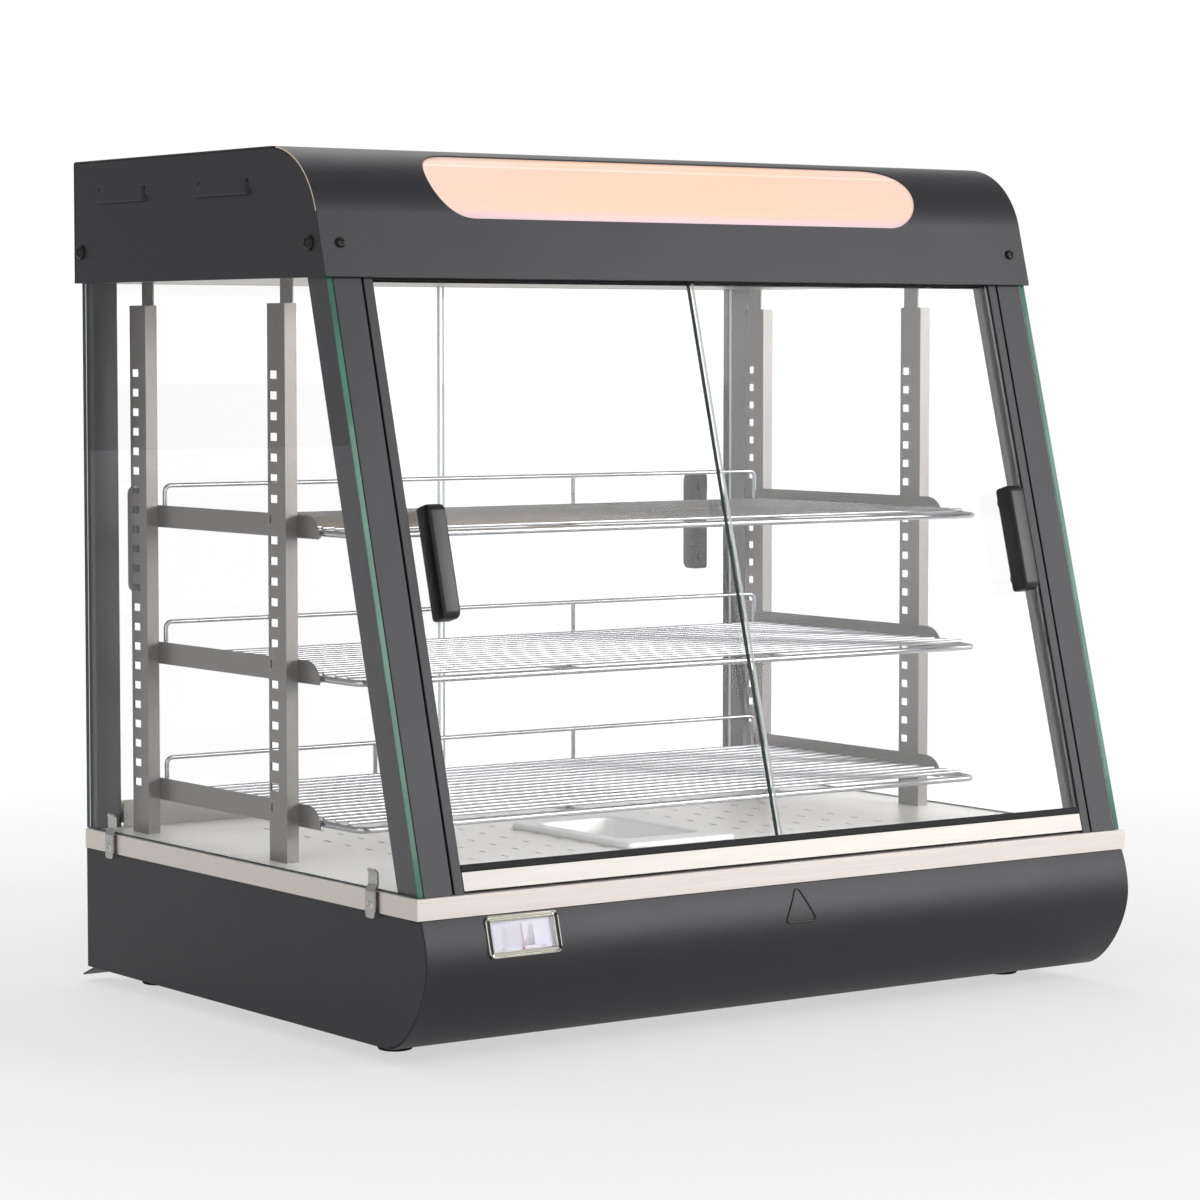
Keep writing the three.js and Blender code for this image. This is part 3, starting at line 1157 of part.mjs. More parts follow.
// A welded wire shelf: frame loop, close wires along X, two cross wires and a raised rear rail.
function shelf(share) {
  const r = FRAME_WIRE_RADIUS;
  const z = bracketBottom(share) + SHEET + SEAT_GAP + r;
  const halfX = SHELF_HALF_WIDTH - r;
  const y0 = SHELF_FRONT_Y + r;
  const y1 = SHELF_REAR_Y - r;
  const loop = roundedShape(halfX, (y1 - y0) / 2, SHELF_CORNER, 0, (y0 + y1) / 2);
  const loopPoints = loop.getPoints(BEND_STEPS / 2).map((point) => at(point.x, point.y, z));
  const corners = loopPoints.filter((point, i) => point.distanceTo(loopPoints.at(i - 1)) > WELD);
  const crossX = [-CROSS_WIRE_SHARE * halfX, CROSS_WIRE_SHARE * halfX];
  const count = Math.round((y1 - y0) / DECK_WIRE_PITCH);
  const wireZ = z + r + DECK_WIRE_RADIUS - WELD;
  const wires = Array.from({ length: count - 1 }, (_, i) => {
    const y = y0 + ((i + 1) * (y1 - y0)) / count;
    return roundX(DECK_WIRE_RADIUS, -halfX, halfX, y, wireZ, WIRE_SIDES);
  });
  const crossZ = z + r - CROSS_WIRE_RADIUS;
  const crossings = crossX.map((x) => (
    roundY(CROSS_WIRE_RADIUS, CROSS_WIRE_RADIUS, y0, y1, x, crossZ, WIRE_SIDES)
  ));
  const railX = halfX - RAIL_INSET;
  const railTop = z + RAIL_RISE;
  const standing = (points) => bentRod(points, RAIL_WIRE_RADIUS, DEPTH_AXIS, false);
  const railEnds = [[-railX, z], [-railX, railTop], [railX, railTop], [railX, z]];
  const rail = standing(railEnds.map(([x, height]) => at(x, y1, height)));
  const stays = crossX.map((x) => standing([at(x, y1, z), at(x, y1, railTop)]));
  return join(bentRod(corners, r, UP_AXIS, true), crossings, wires, rail, stays);
}

function cabin() {
  const pieces = [mesh('front_sill', frontSill(), STEEL)];
  for (const [side, sign] of [['left', -1], ['right', 1]]) {
    pieces.push(
      mesh(`side_pane_${side}`, sidePane(sign), GLASS),
      mesh(`pane_clip_front_${side}`, paneClip(sign, CLIP_FRONT_Y), STEEL),
      mesh(`pane_clip_rear_${side}`, paneClip(sign, CLIP_REAR_Y), STEEL),
      mesh(`front_post_${side}`, frontPost(sign), COAT),
      mesh(`rear_post_${side}`, rearPost(sign), COAT),
      mesh(`upright_front_${side}`, upright(sign, UPRIGHT_FRONT_Y), STEEL),
      mesh(`upright_rear_${side}`, upright(sign, UPRIGHT_REAR_Y), STEEL),
    );
    for (const [name, share] of Object.entries(SHELF_LEVEL_SHARES)) {
      pieces.push(mesh(`bracket_${name}_${side}`, bracket(sign, share), STEEL));
    }
  }
  for (const [name, share] of Object.entries(SHELF_LEVEL_SHARES)) {
    pieces.push(mesh(`shelf_${name}`, shelf(share), CHROME));
  }
  return pieces;
}

// The centre of the canopy's curve, which is tangent to the sloped lip and to the flat top.
function curveCentre() {
  const z = TOP_Z - CANOPY_RADIUS;
  const touchZ = z + CANOPY_RADIUS * Math.sin(SLOPE);
  return [slopeY(touchZ, -LIP_PROUD) + CANOPY_RADIUS * Math.cos(SLOPE), z];
}

// The canopy sheet's outer line from the lip, up the slope, over the curve and down the rear.
function canopyRun() {
  const [y, z] = curveCentre();
  const radius = CANOPY_RADIUS;
  const curve = new THREE.EllipseCurve(y, z, radius, radius, Math.PI - SLOPE, Math.PI / 2, true);
  const lip = [slopeY(LIP_Z, -LIP_PROUD), LIP_Z];
  return [lip, ...pointsOf(curve, CANOPY_STEPS), [CANOPY_REAR_Y, TOP_Z], [CANOPY_REAR_Y, LIP_Z]];
}

// A point of the wrap by its length along the sheet below (negative) or above the curve's lower end,
// and by its distance outside the sheet's outer face.
function wrapPoint(length, out) {
  const [y, z] = curveCentre();
  const angle = Math.PI - SLOPE - Math.max(length, 0) / CANOPY_RADIUS;
  const reach = CANOPY_RADIUS + out;
  const below = Math.min(length, 0);
  return [
    y + reach * Math.cos(angle) + below * Math.sin(SLOPE),
    z + reach * Math.sin(angle) + below * Math.cos(SLOPE),
  ];
}

// A stadium-shaped cutter whose walls stand square to the curved sheet.
function windowCutter() {
  const radius = WINDOW_HEIGHT / 2;
  const straight = WINDOW_HALF_WIDTH - radius;
  const outline = new THREE.Shape();
  const middle = radius - WINDOW_BELOW_CURVE;
  outline.absarc(straight, middle, radius, -Math.PI / 2, Math.PI / 2, false);
  outline.absarc(-straight, middle, radius, Math.PI / 2, 1.5 * Math.PI, false);
  const settings = { depth: OVERRUN, bevelEnabled: false, curveSegments: CURVE_STEPS };
  const geometry = new THREE.ExtrudeGeometry(outline, settings);
  const position = geometry.getAttribute('position');
  const reach = CANOPY_RADIUS / 2;
  for (let i = 0; i < position.count; i += 1) {
    const out = position.getZ(i) > 0 ? reach : -reach;
    const [y, z] = wrapPoint(position.getY(i), out);
    position.setXYZ(i, position.getX(i), y, z);
  }
  return solidOf(geometry);
}

function canopyCover() {
  const sheet = prismX(sheetOutline(canopyRun(), -SHEET), -HALF_WIDTH, HALF_WIDTH);
  const radius = CANOPY_SCREW_RADIUS;
  const y = slopeY(CANOPY_SCREW_Z, -LIP_PROUD - (CANOPY_SCREW_HEAD - WELD) / 2);
  const screwX = HALF_WIDTH - FRONT_SCREW_INSET;
  const screws = [-screwX, screwX].map((x) => {
    const head = new THREE.CylinderGeometry(radius, radius, CANOPY_SCREW_HEAD + WELD, SCREW_SIDES);
    return solidOf(head.rotateX(-SLOPE).translate(x, y, CANOPY_SCREW_Z));
  });
  return join(cut(sheet, windowCutter()), screws);
}

// A pressed hood whose lower edge stands open, and the hollow behind it.
function louvre(sign, centreY, inset) {
  const z0 = LIP_Z + LOUVRE_RISE;
  const face = HALF_WIDTH - SEAT_GAP;
  const back = face - SHEET - (inset > 0 ? OVERRUN : 0);
  const hoodFace = face + LOUVRE_DEPTH - inset;
  const foot = z0 - (inset > 0 ? WELD : 0);
  const top = z0 + LOUVRE_HEIGHT - 2 * inset;
  const wedge = [[back, foot], [hoodFace, foot], [hoodFace, z0], [face, top], [back, top]];
  const points = wedge.map(([x, z]) => [sign * x, z]);
  const half = LOUVRE_LENGTH / 2 - inset;
  const hood = prismY(points, centreY - half, centreY + half);
  const slope = (LOUVRE_LENGTH - LOUVRE_TOP_LENGTH) / 2;
  const trims = [-1, 1].map((end) => {
    const edge = centreY + end * half;
    const past = edge + end * OVERRUN;
    const corner = [[edge, z0], [edge - end * slope, top + WELD], [past, top + WELD], [past, z0]];
    return prismX(corner, ...ordered(sign * face, sign * (face + LOUVRE_DEPTH + OVERRUN)));
  });
  return cut(hood, trims);
}

function canopyEnd(sign) {
  const inner = offsetRun(canopyRun(), -SHEET - SEAT_GAP);
  const face = HALF_WIDTH - SEAT_GAP;
  const across = ordered(sign * (face - SHEET), sign * face);
  const flange = ordered(sign * (face - END_FLANGE), sign * (face - WELD));
  const z0 = LIP_Z;
  const rearY = inner.at(-1)[0];
  const curveStart = inner[1];
  const lipFlange = sheetOutline([[inner[0][0], z0], curveStart], -SHEET);
  const head = ordered(sign * (face - WELD), sign * (face + CANOPY_SCREW_HEAD));
  const screwFrontY = slopeY(CANOPY_SCREW_Z, -LIP_PROUD) + END_SCREW_FRONT_INSET;
  const screws = [screwFrontY, CANOPY_REAR_Y - END_SCREW_REAR_INSET].map((y) => (
    roundX(CANOPY_SCREW_RADIUS, ...head, y, CANOPY_SCREW_Z, SCREW_SIDES)
  ));
  const panel = join(
    prismX(inner, ...across),
    prismX(lipFlange, ...flange),
    box(...flange, rearY - SHEET, rearY, z0, TOP_Z - CANOPY_RADIUS),
    screws,
    LOUVRE_CENTRES_Y.map((y) => louvre(sign, y, 0)),
  );
  return cut(panel, LOUVRE_CENTRES_Y.map((y) => louvre(sign, y, SHEET / 2)));
}

// Ceiling plate with its front and side flanges, and the folded two-groove track for the rear doors.
function ceilingPanel() {
  const half = PANE_INNER_X - SEAT_GAP;
  const z1 = LIP_Z + SHEET;
  const rear = REAR_PLANE_Y - TRACK_DEPTH + WELD;
  const postX = REAR_POST_INNER_X - SEAT_GAP;
  const postY = PANE_REAR_Y - REAR_POST_DEPTH - SEAT_GAP;
  const flangeTop = LIP_Z + CEILING_FLANGE_RISE;
  const plate = shapeOf([
    [-half, CEILING_FRONT_Y], [half, CEILING_FRONT_Y], [half, postY], [postX, postY],
    [postX, rear], [-postX, rear], [-postX, postY], [-half, postY],
  ]);
  const trackFloor = CABIN_HEIGHT + TOP_TRACK_DROP;
  const track = trackBands(trackFloor, CABIN_HEIGHT).map(([depth0, depth1, rise0, rise1]) => (
    box(-postX, postX, REAR_PLANE_Y - depth1, REAR_PLANE_Y - depth0, DECK_Z + rise0, DECK_Z + rise1)
  ));
  return join(
    prismZ(plate, LIP_Z, z1),
    box(-half, half, CEILING_FRONT_Y, CEILING_FRONT_Y + SHEET, LIP_Z, flangeTop),
    box(-half, SHEET - half, CEILING_FRONT_Y, postY, LIP_Z, flangeTop),
    box(half - SHEET, half, CEILING_FRONT_Y, postY, LIP_Z, flangeTop),
    track,
  );
}

// The opal sign: a strip bent to the inside of the curve, a little larger than the window.
function signPanel() {
  const start = -WINDOW_BELOW_CURVE - SIGN_MARGIN;
  const end = WINDOW_HEIGHT - WINDOW_BELOW_CURVE + SIGN_MARGIN;
  const out = -SHEET - SEAT_GAP;
  const bends = Array.from({ length: CANOPY_STEPS + 1 }, (_, i) => wrapPoint((end * i) / CANOPY_STEPS, out));
  const half = WINDOW_HALF_WIDTH + SIGN_MARGIN;
  return prismX(sheetOutline([wrapPoint(start, out), ...bends], -SIGN_THICKNESS), -half, half);
}

function lampTube() {
  return roundX(LAMP_RADIUS, LAMP_LEFT_X, LAMP_LEFT_X + LAMP_LENGTH, LAMP_Y, LAMP_Z);
}

// A rail on the ceiling's front flange with a lamp holder at each end.
function lampBatten() {
  const leftX = LAMP_LEFT_X - SEAT_GAP;
  const rightX = LAMP_LEFT_X + LAMP_LENGTH + SEAT_GAP;
  const railFront = RAIL_REAR_Y - SHEET;
  const railZ = LIP_Z + SHEET;
  const length = LAMP_HOLDER_LENGTH;
  const y0 = LAMP_Y - LAMP_HOLDER_FRONT;
  const holder = (x0) => {
    const z = [LAMP_Z - LAMP_HOLDER_FRONT, LAMP_Z + LAMP_HOLDER_FRONT];
    return box(x0, x0 + length, y0, railFront + WELD, ...z);
  };
  return join(
    box(leftX - length, rightX + length, railFront, RAIL_REAR_Y, railZ, railZ + LAMP_RAIL_HEIGHT),
    holder(leftX - length),
    holder(rightX),
  );
}

function canopy() {
  return [
    mesh('canopy_cover', canopyCover(), COAT),
    mesh('canopy_end_left', canopyEnd(-1), COAT),
    mesh('canopy_end_right', canopyEnd(1), COAT),
    mesh('ceiling_panel', ceilingPanel(), STEEL),
    mesh('sign_panel', signPanel(), OPAL),
    mesh('lamp_tube', lampTube(), LAMP),
    mesh('lamp_batten', lampBatten(), STEEL),
  ];
}

// The case stands centred on its own bounding box.
const FRONT_MOST_Y = Math.min(BASE_FRONT_Y, dialPoint(0, -DIAL_HEIGHT)[0]);
const REAR_MOST_Y = RIM_DEPTH + SEAT_GAP + KNOB_HEIGHT;
const displayCase = new THREE.Group();
displayCase.position.y = -(FRONT_MOST_Y + REAR_MOST_Y) / 2;
displayCase.add(...base(), ...cabin(), frontUnit(), rearUnit(), ...canopy());

export default displayCase;
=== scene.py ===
"""Looks of the heated display case: finishes, glass, wire shelves, canopy, sign, controls and a plain studio.

Lengths are in metres in the part's own frame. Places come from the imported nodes, so every piece sits where
the construction puts it.
"""

import logging
import math
from dataclasses import dataclass
from enum import Enum
from typing import Callable, ClassVar, Iterable, Optional, Sequence

import bmesh
import bpy
from mathutils import Matrix, Vector


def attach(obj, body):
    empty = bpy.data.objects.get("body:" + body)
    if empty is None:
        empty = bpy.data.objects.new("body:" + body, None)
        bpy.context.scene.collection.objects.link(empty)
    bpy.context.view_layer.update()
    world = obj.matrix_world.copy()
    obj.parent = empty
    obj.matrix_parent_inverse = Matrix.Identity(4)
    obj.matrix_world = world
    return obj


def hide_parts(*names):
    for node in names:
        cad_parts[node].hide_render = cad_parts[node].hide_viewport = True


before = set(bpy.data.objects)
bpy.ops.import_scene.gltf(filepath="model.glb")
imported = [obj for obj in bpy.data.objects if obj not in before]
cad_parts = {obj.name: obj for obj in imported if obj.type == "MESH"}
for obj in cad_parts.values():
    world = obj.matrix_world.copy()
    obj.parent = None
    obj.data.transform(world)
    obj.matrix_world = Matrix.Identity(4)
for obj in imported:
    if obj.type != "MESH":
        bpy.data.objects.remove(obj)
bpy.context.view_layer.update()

LOG = logging.getLogger("display_case")
MM = 0.001
CASE = "case"
SHARP_ANGLE = math.radians(32)
FLAT_ANGLE = math.radians(1)
WELD_GAP = 0.01 * MM
PANEL_GAP = 0.3 * MM
Point = Sequence[float]
Ring = list[Vector]
Tree = bpy.types.NodeTree
Node = bpy.types.Node
Socket = bpy.types.NodeSocket


class Axis(Enum):
    """The direction in which an outline is drawn out: columns that carry outline x, outline y and depth."""

    X = ((0, 1, 0), (0, 0, 1), (1, 0, 0))
    Y = ((1, 0, 0), (0, 0, 1), (0, 1, 0))
    Z = ((1, 0, 0), (0, 1, 0), (0, 0, 1))

    @property
    def matrix(self) -> Matrix:
        """The turn from outline space to the part's frame."""
        return Matrix(self.value).transposed().to_4x4()


class Grain(Enum):
    """How a sheet was brushed: the length of a streak along X, Y and Z."""

    ACROSS = (60 * MM, 0.7 * MM, 0.7 * MM)
    UPRIGHT = (0.7 * MM, 0.7 * MM, 50 * MM)
    DEEP = (0.7 * MM, 60 * MM, 0.7 * MM)


# Small geometry helpers


def linear(code: str, alpha: float = 1.0) -> tuple[float, float, float, float]:
    """Turns an sRGB hex colour to linear light.

    Args:
        code: The colour as #RRGGBB.
        alpha: The fourth channel.

    Returns:
        Red, green, blue and alpha.
    """
    parts = [int(code[i : i + 2], 16) / 255 for i in (1, 3, 5)]
    light = [p / 12.92 if p <= 0.04045 else ((p + 0.055) / 1.055) ** 2.4 for p in parts]
    return (light[0], light[1], light[2], alpha)


def bezier(control: Sequence[Point], steps: int) -> list[Vector]:
    """Points along a Bezier curve of any degree.

    Args:
        control: The control points.
        steps: How many stretches the curve is drawn in.

    Returns:
        steps + 1 points from the first control point to the last.
    """
    degree = len(control) - 1
    run = []
    for i in range(steps + 1):
        t = i / steps
        shares = [math.comb(degree, k) * t**k * (1 - t) ** (degree - k) for k in range(degree + 1)]
        run.append(sum((Vector(c) * s for c, s in zip(control, shares)), Vector((0, 0))))
    return run


def fillet(
    corners: Sequence[Point], radii: Sequence[float], steps: int, closed: bool = False,
) -> list[Vector]:
    """Rounds the corners of a line.

    Args:
        corners: The sharp corners in order.
        radii: A radius for each corner; 0 leaves it sharp.
        steps: Stretches in each rounded corner.
        closed: Whether the last corner joins the first.

    Returns:
        The points of the rounded line.
    """
    points = [Vector(c) for c in corners]
    made = []
    for i, (corner, radius) in enumerate(zip(points, radii)):
        open_end = not closed and i in (0, len(points) - 1)
        if radius <= 0 or open_end:
            made.append(corner)
            continue
        back = (points[i - 1] - corner).normalized()
        ahead = (points[(i + 1) % len(points)] - corner).normalized()
        half = back.angle(ahead) / 2
        centre = corner + (back + ahead).normalized() * (radius / math.sin(half))
        start = corner + back * (radius / math.tan(half)) - centre
        end = corner + ahead * (radius / math.tan(half)) - centre
        sweep = math.atan2(start.x * end.y - start.y * end.x, start.dot(end))
        for k in range(steps + 1):
            turn = Matrix.Rotation(sweep * k / steps, 2)
            made.append(centre + turn @ start)
    return made


def rounded_box(x0: float, x1: float, y0: float, y1: float, radius: float, steps: int = 5) -> list[Vector]:
    """A rectangle with rounded corners, with the same number of points at any size."""
    corners = [(x1, y0), (x1, y1), (x0, y1), (x0, y0)]
    return fillet(corners, [max(radius, 1e-6)] * 4, steps, closed=True)


def circle(radius: float, sides: int, centre: Point = (0, 0)) -> list[Vector]:
    """The points of a circle, counted from its +x side."""
    turns = [2 * math.pi * i / sides for i in range(sides)]
    return [Vector((centre[0] + radius * math.cos(t), centre[1] + radius * math.sin(t))) for t in turns]


def shifted(points: Sequence[Vector], distance: float, closed: bool = True) -> list[Vector]:
    """Moves a line sideways, to its left for a positive distance.

    Args:
        points: The line in a plane.
        distance: How far each stretch moves.
        closed: Whether the line is a loop.

    Returns:
        As many points as came in, mitred at the corners.
    """
    count = len(points)
    made = []
    for i, point in enumerate(points):
        before = points[i - 1] if closed or i > 0 else None
        after = points[(i + 1) % count] if closed or i < count - 1 else None
        arriving = (point - before) if before else (after - point)
        leaving = (after - point) if after else (point - before)
        sides = (arriving, leaving)
        normals = [Vector((-s.y, s.x)).normalized() for s in sides]
        total = normals[0] + normals[1]
        made.append(point + total * (distance / (1 + normals[0].dot(normals[1]))))
    return made


class Run:
    """An open line in a plane that is read by the length along it."""

    def __init__(self, points: Sequence[Vector]) -> None:
        """Keeps the points and the length at each.

        Args:
            points: The line's points in order.
        """
        self.points = list(points)
        self.marks = [0.0]
        for a, b in zip(self.points, self.points[1:]):
            self.marks.append(self.marks[-1] + (b - a).length)

    def at(self, length: float) -> Vector:
        """The point at a length from the start.

        Args:
            length: The length along the line.

        Returns:
            The point there.
        """
        for i in range(1, len(self.marks)):
            if length <= self.marks[i] or i == len(self.marks) - 1:
                share = (length - self.marks[i - 1]) / (self.marks[i] - self.marks[i - 1])
                return self.points[i - 1].lerp(self.points[i], share)
        return self.points[-1]

    @property
    def length(self) -> float:
        """The whole length."""
        return self.marks[-1]


@dataclass(frozen=True)
class Extent:
    """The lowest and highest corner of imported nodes, in the part's frame or a tilted one."""

    low: Vector
    high: Vector

    @classmethod
    def of(cls, node: str, into: Optional[Matrix] = None) -> "Extent":
        """Measures a node.

        Args:
            node: The node's name.
            into: The change from the part's frame to the frame to measure in.

        Returns:
            The node's extent there.
        """
        turn = into or Matrix.Identity(4)
        points = [turn @ v.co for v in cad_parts[node].data.vertices]
        return cls(Vector(map(min, *points)), Vector(map(max, *points)))

    @property
    def centre(self) -> Vector:
        """The middle of the box."""
        return (self.low + self.high) / 2

    @property
    def size(self) -> Vector:
        """The box's three sides."""
        return self.high - self.low


def front_plane() -> Matrix:
    """The frame of the sloped front: X along it, Y into the case, Z up the slope from the deck.

    Returns:
        The frame, as a matrix.
    """
    points = [v.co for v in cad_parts["front_post_left"].data.vertices]
    low, high = min(p.z for p in points), max(p.z for p in points)
    near = 1e-4
    foot = min(p.y for p in points if p.z < low + near)
    head = min(p.y for p in points if p.z > high - near)
    lean = math.atan2(head - foot, high - low)
    return Matrix.Translation((0, foot, low)) @ Matrix.Rotation(-lean, 4, "X")


def dial_plane() -> Matrix:
    """The turn of the thermometer's tilted face: X along it, Y into the case, Z up the face.

    Returns:
        The turn, as a matrix.
    """
    points = [v.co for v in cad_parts["thermometer_lens"].data.vertices]
    foot, head = min(points, key=lambda p: p.y), max(points, key=lambda p: p.z)
    return Matrix.Rotation(-math.atan2(head.y - foot.y, head.z - foot.z), 4, "X")


SLOPE = front_plane()
LEAN = -SLOPE.to_euler().x
DIAL_PLACE = dial_plane()

# Finishes


def add_node(tree: Tree, kind: str, settings: Optional[dict] = None, links: Optional[dict] = None) -> Node:
    """Adds one node.

    Args:
        tree: The node tree.
        kind: The node's type name.
        settings: Values by input name or number, or by the node's own property.
        links: Output sockets by input name or number.

    Returns:
        The node.
    """
    made = tree.nodes.new(kind)
    for key, value in (settings or {}).items():
        if isinstance(key, int) or key in made.inputs:
            made.inputs[key].default_value = value
        else:
            setattr(made, key, value)
    for key, socket in (links or {}).items():
        tree.links.new(socket, made.inputs[key])
    return made


@dataclass(frozen=True)
class Finish:
    """A surface finish, with the name of its material slot."""

    slot: str
    colour: str
    roughness: float = 0.5
    metallic: float = 0.0
    made: ClassVar[dict] = {}

    def material(self) -> bpy.types.Material:
        """The material, made at its first use.

        Returns:
            The material.
        """
        if self not in Finish.made:
            material = bpy.data.materials.new(f"{type(self).__name__}_{self.colour[1:]}")
            material.use_nodes = True
            tree = material.node_tree
            shader = tree.nodes["Principled BSDF"]
            shader.inputs["Base Color"].default_value = linear(self.colour)
            shader.inputs["Roughness"].default_value = self.roughness
            shader.inputs["Metallic"].default_value = self.metallic
            place = add_node(tree, "ShaderNodeTexCoord").outputs["Object"]
            self.pattern(tree, shader, place)
            Finish.made[self] = material
        return Finish.made[self]

    def pattern(self, tree: Tree, shader: Node, place: Socket) -> None:
        """Adds what the eye sees besides the plain colour."""

    def streaks(self, tree: Tree, place: Socket, lengths: Point, detail: float = 3.0) -> Socket:
        """A noise whose features have a given length along X, Y and Z.

        Args:
            tree: The material's nodes.
            place: The coordinates.
            lengths: The length of a feature along each axis.
            detail: How many finer layers the noise has.

        Returns:
            The noise, from 0 to 1.
        """
        spread = {"Scale": [1 / n for n in lengths]}
        stretched = add_node(tree, "ShaderNodeMapping", spread, {"Vector": place})
        links = {"Vector": stretched.outputs["Vector"]}
        return add_node(tree, "ShaderNodeTexNoise", {"Scale": 1.0, "Detail": detail}, links).outputs["Fac"]

    def vary(self, tree: Tree, shader: Node, amount: Socket, colour: float, roughness: float) -> None:
        """Lets a noise lighten and darken the colour and shift the roughness.

        Args:
            tree: The material's nodes.
            shader: Its Principled node.
            amount: The noise, from 0 to 1.
            colour: The share by which the colour goes up and down.
            roughness: How far the roughness goes up and down.
        """
        base = linear(self.colour)
        ends = [[min(1.0, c * f) for c in base[:3]] + [1.0] for f in (1 - colour, 1 + colour)]
        settings = {"data_type": "RGBA", 6: ends[0], 7: ends[1]}
        tone = add_node(tree, "ShaderNodeMix", settings, {0: amount})
        tree.links.new(tone.outputs[2], shader.inputs["Base Color"])
        span = {"To Min": self.roughness - roughness, "To Max": self.roughness + roughness}
        rough = add_node(tree, "ShaderNodeMapRange", span, {"Value": amount})
        tree.links.new(rough.outputs["Result"], shader.inputs["Roughness"])

    def bump(self, tree: Tree, shader: Node, height: Socket, depth: float, strength: float) -> None:
        """Raises the surface with a noise.

        Args:
            tree: The material's nodes.
            shader: Its Principled node.
            height: The noise, from 0 to 1.
            depth: How high the noise stands.
            strength: The share of it that shows.
        """
        settings = {"Strength": strength, "Distance": depth}
        made = add_node(tree, "ShaderNodeBump", settings, {"Height": height})
        tree.links.new(made.outputs["Normal"], shader.inputs["Normal"])


@dataclass(frozen=True)
class PowderCoat(Finish):
    """Polyester powder coat, sprayed and baked: satin, with a faint orange peel in its highlights."""

    peel: float = 2.4 * MM
    cloud: float = 55 * MM
    mirror: float = 0.36

    def pattern(self, tree: Tree, shader: Node, place: Socket) -> None:
        """A fine peel in the bump, and soft clouds in tone and gloss.

        Args:
            tree: The material's nodes.
            shader: Its Principled node.
            place: The coordinates.
        """
        shader.inputs["Specular IOR Level"].default_value = self.mirror
        cloud = self.streaks(tree, place, [self.cloud] * 3, 2.0)
        self.vary(tree, shader, cloud, 0.10, 0.035)
        self.bump(tree, shader, self.streaks(tree, place, [self.peel] * 3, 1.0), 0.06 * MM, 0.22)


@dataclass(frozen=True)
class BrushedSteel(Finish):
    """Austenitic stainless sheet, belt brushed: streaks that are drawn coarser than real so that they show.

    Top faces can take a paler colour and less metal: a painted highlight where the light falls on the top.
    """

    metallic: float = 1.0
    grain: Grain = Grain.ACROSS
    contrast: float = 0.09
    scoured: float = 1.0
    # Colour of the painted highlight on the top faces.
    pale: str = "#FAF9F7"

    def pattern(self, tree: Tree, shader: Node, place: Socket) -> None:
        """Long streaks in tone, gloss and bump, which run rearwards on the faces at the sides.

        Args:
            tree: The material's nodes.
            shader: Its Principled node.
            place: The coordinates.
        """
        facing = add_node(tree, "ShaderNodeNewGeometry").outputs["Normal"]
        parts = add_node(tree, "ShaderNodeSeparateXYZ", links={"Vector": facing})
        side = add_node(tree, "ShaderNodeMath", {"operation": "ABSOLUTE"}, {0: parts.outputs["X"]})
        picked = add_node(tree, "ShaderNodeMath", {"operation": "GREATER_THAN", 1: 0.7}, {0: side.outputs[0]})
        along = self.streaks(tree, place, self.grain.value)
        turned = Grain.DEEP if self.grain is Grain.ACROSS else self.grain
        rearward = self.streaks(tree, place, turned.value)
        links = {0: picked.outputs[0], 2: along, 3: rearward}
        streak = add_node(tree, "ShaderNodeMix", {"data_type": "FLOAT"}, links).outputs[0]
        self.vary(tree, shader, streak, self.contrast, 0.06)
        self.bump(tree, shader, streak, 0.02 * MM, 0.12)
        # Top faces get the pale colour and less metal: painted highlight on the lit top.
        if self.scoured < 1:
            span = {"From Min": 0.6, "From Max": 0.9, "To Min": 1.0, "To Max": self.scoured}
            flat = add_node(tree, "ShaderNodeMapRange", span, {"Value": parts.outputs["Z"]})
            tree.links.new(flat.outputs["Result"], shader.inputs["Metallic"])
            tone = shader.inputs["Base Color"].links[0].from_socket
            lit_top_colours = {"data_type": "RGBA", 6: linear(self.pale)}
            lit_top_tone = add_node(tree, "ShaderNodeMix", lit_top_colours, {0: flat.outputs["Result"], 7: tone})
            tree.links.new(lit_top_tone.outputs[2], shader.inputs["Base Color"])


@dataclass(frozen=True)
class PressedSteel(Finish):
    """Bright-annealed stainless, pressed or bent: near mirror, with a slow waviness."""

    metallic: float = 1.0
    wave: float = 22 * MM

    def pattern(self, tree: Tree, shader: Node, place: Socket) -> None:
        """A slow wave that bends reflections, and faint tone clouds.

        Args:
            tree: The material's nodes.
            shader: Its Principled node.
            place: The coordinates.
        """
        wave = self.streaks(tree, place, [self.wave] * 3, 1.0)
        self.vary(tree, shader, wave, 0.05, 0.04)
        self.bump(tree, shader, wave, 0.15 * MM, 0.1)


@dataclass(frozen=True)
class PlatedWire(Finish):
    """Drawn steel wire, bright zinc-nickel plated: small bright glints with slight drawing marks."""

    metallic: float = 1.0
    mark: float = 4 * MM

    def pattern(self, tree: Tree, shader: Node, place: Socket) -> None:
        """Drawing marks along the wires."""
        marks = self.streaks(tree, place, [self.mark * 6, self.mark / 4, self.mark / 4])
        self.vary(tree, shader, marks, 0.10, 0.07)


@dataclass(frozen=True)
class HeatTintedSheath(Finish):
    """Stainless heater sheath, annealed in air: straw to blue tints that the heat leaves."""

    metallic: float = 1.0
    band: float = 45 * MM
    straw: str = "#8C7448"
    blue: str = "#4B5568"

    def pattern(self, tree: Tree, shader: Node, place: Socket) -> None:
        """Bands of straw and blue over the grey.

        Args:
            tree: The material's nodes.
            shader: Its Principled node.
            place: The coordinates.
        """
        noise = self.streaks(tree, place, [self.band] * 3, 2.0)
        ramp = add_node(tree, "ShaderNodeValToRGB", links={"Fac": noise})
        stops = [(0.3, self.colour), (0.5, self.straw), (0.68, self.blue)]
        ramp.color_ramp.elements.new(0.5)
        for stop, (place_on_ramp, code) in zip(ramp.color_ramp.elements, stops):
            stop.position = place_on_ramp
            stop.color = linear(code)
        tree.links.new(ramp.outputs["Color"], shader.inputs["Base Color"])


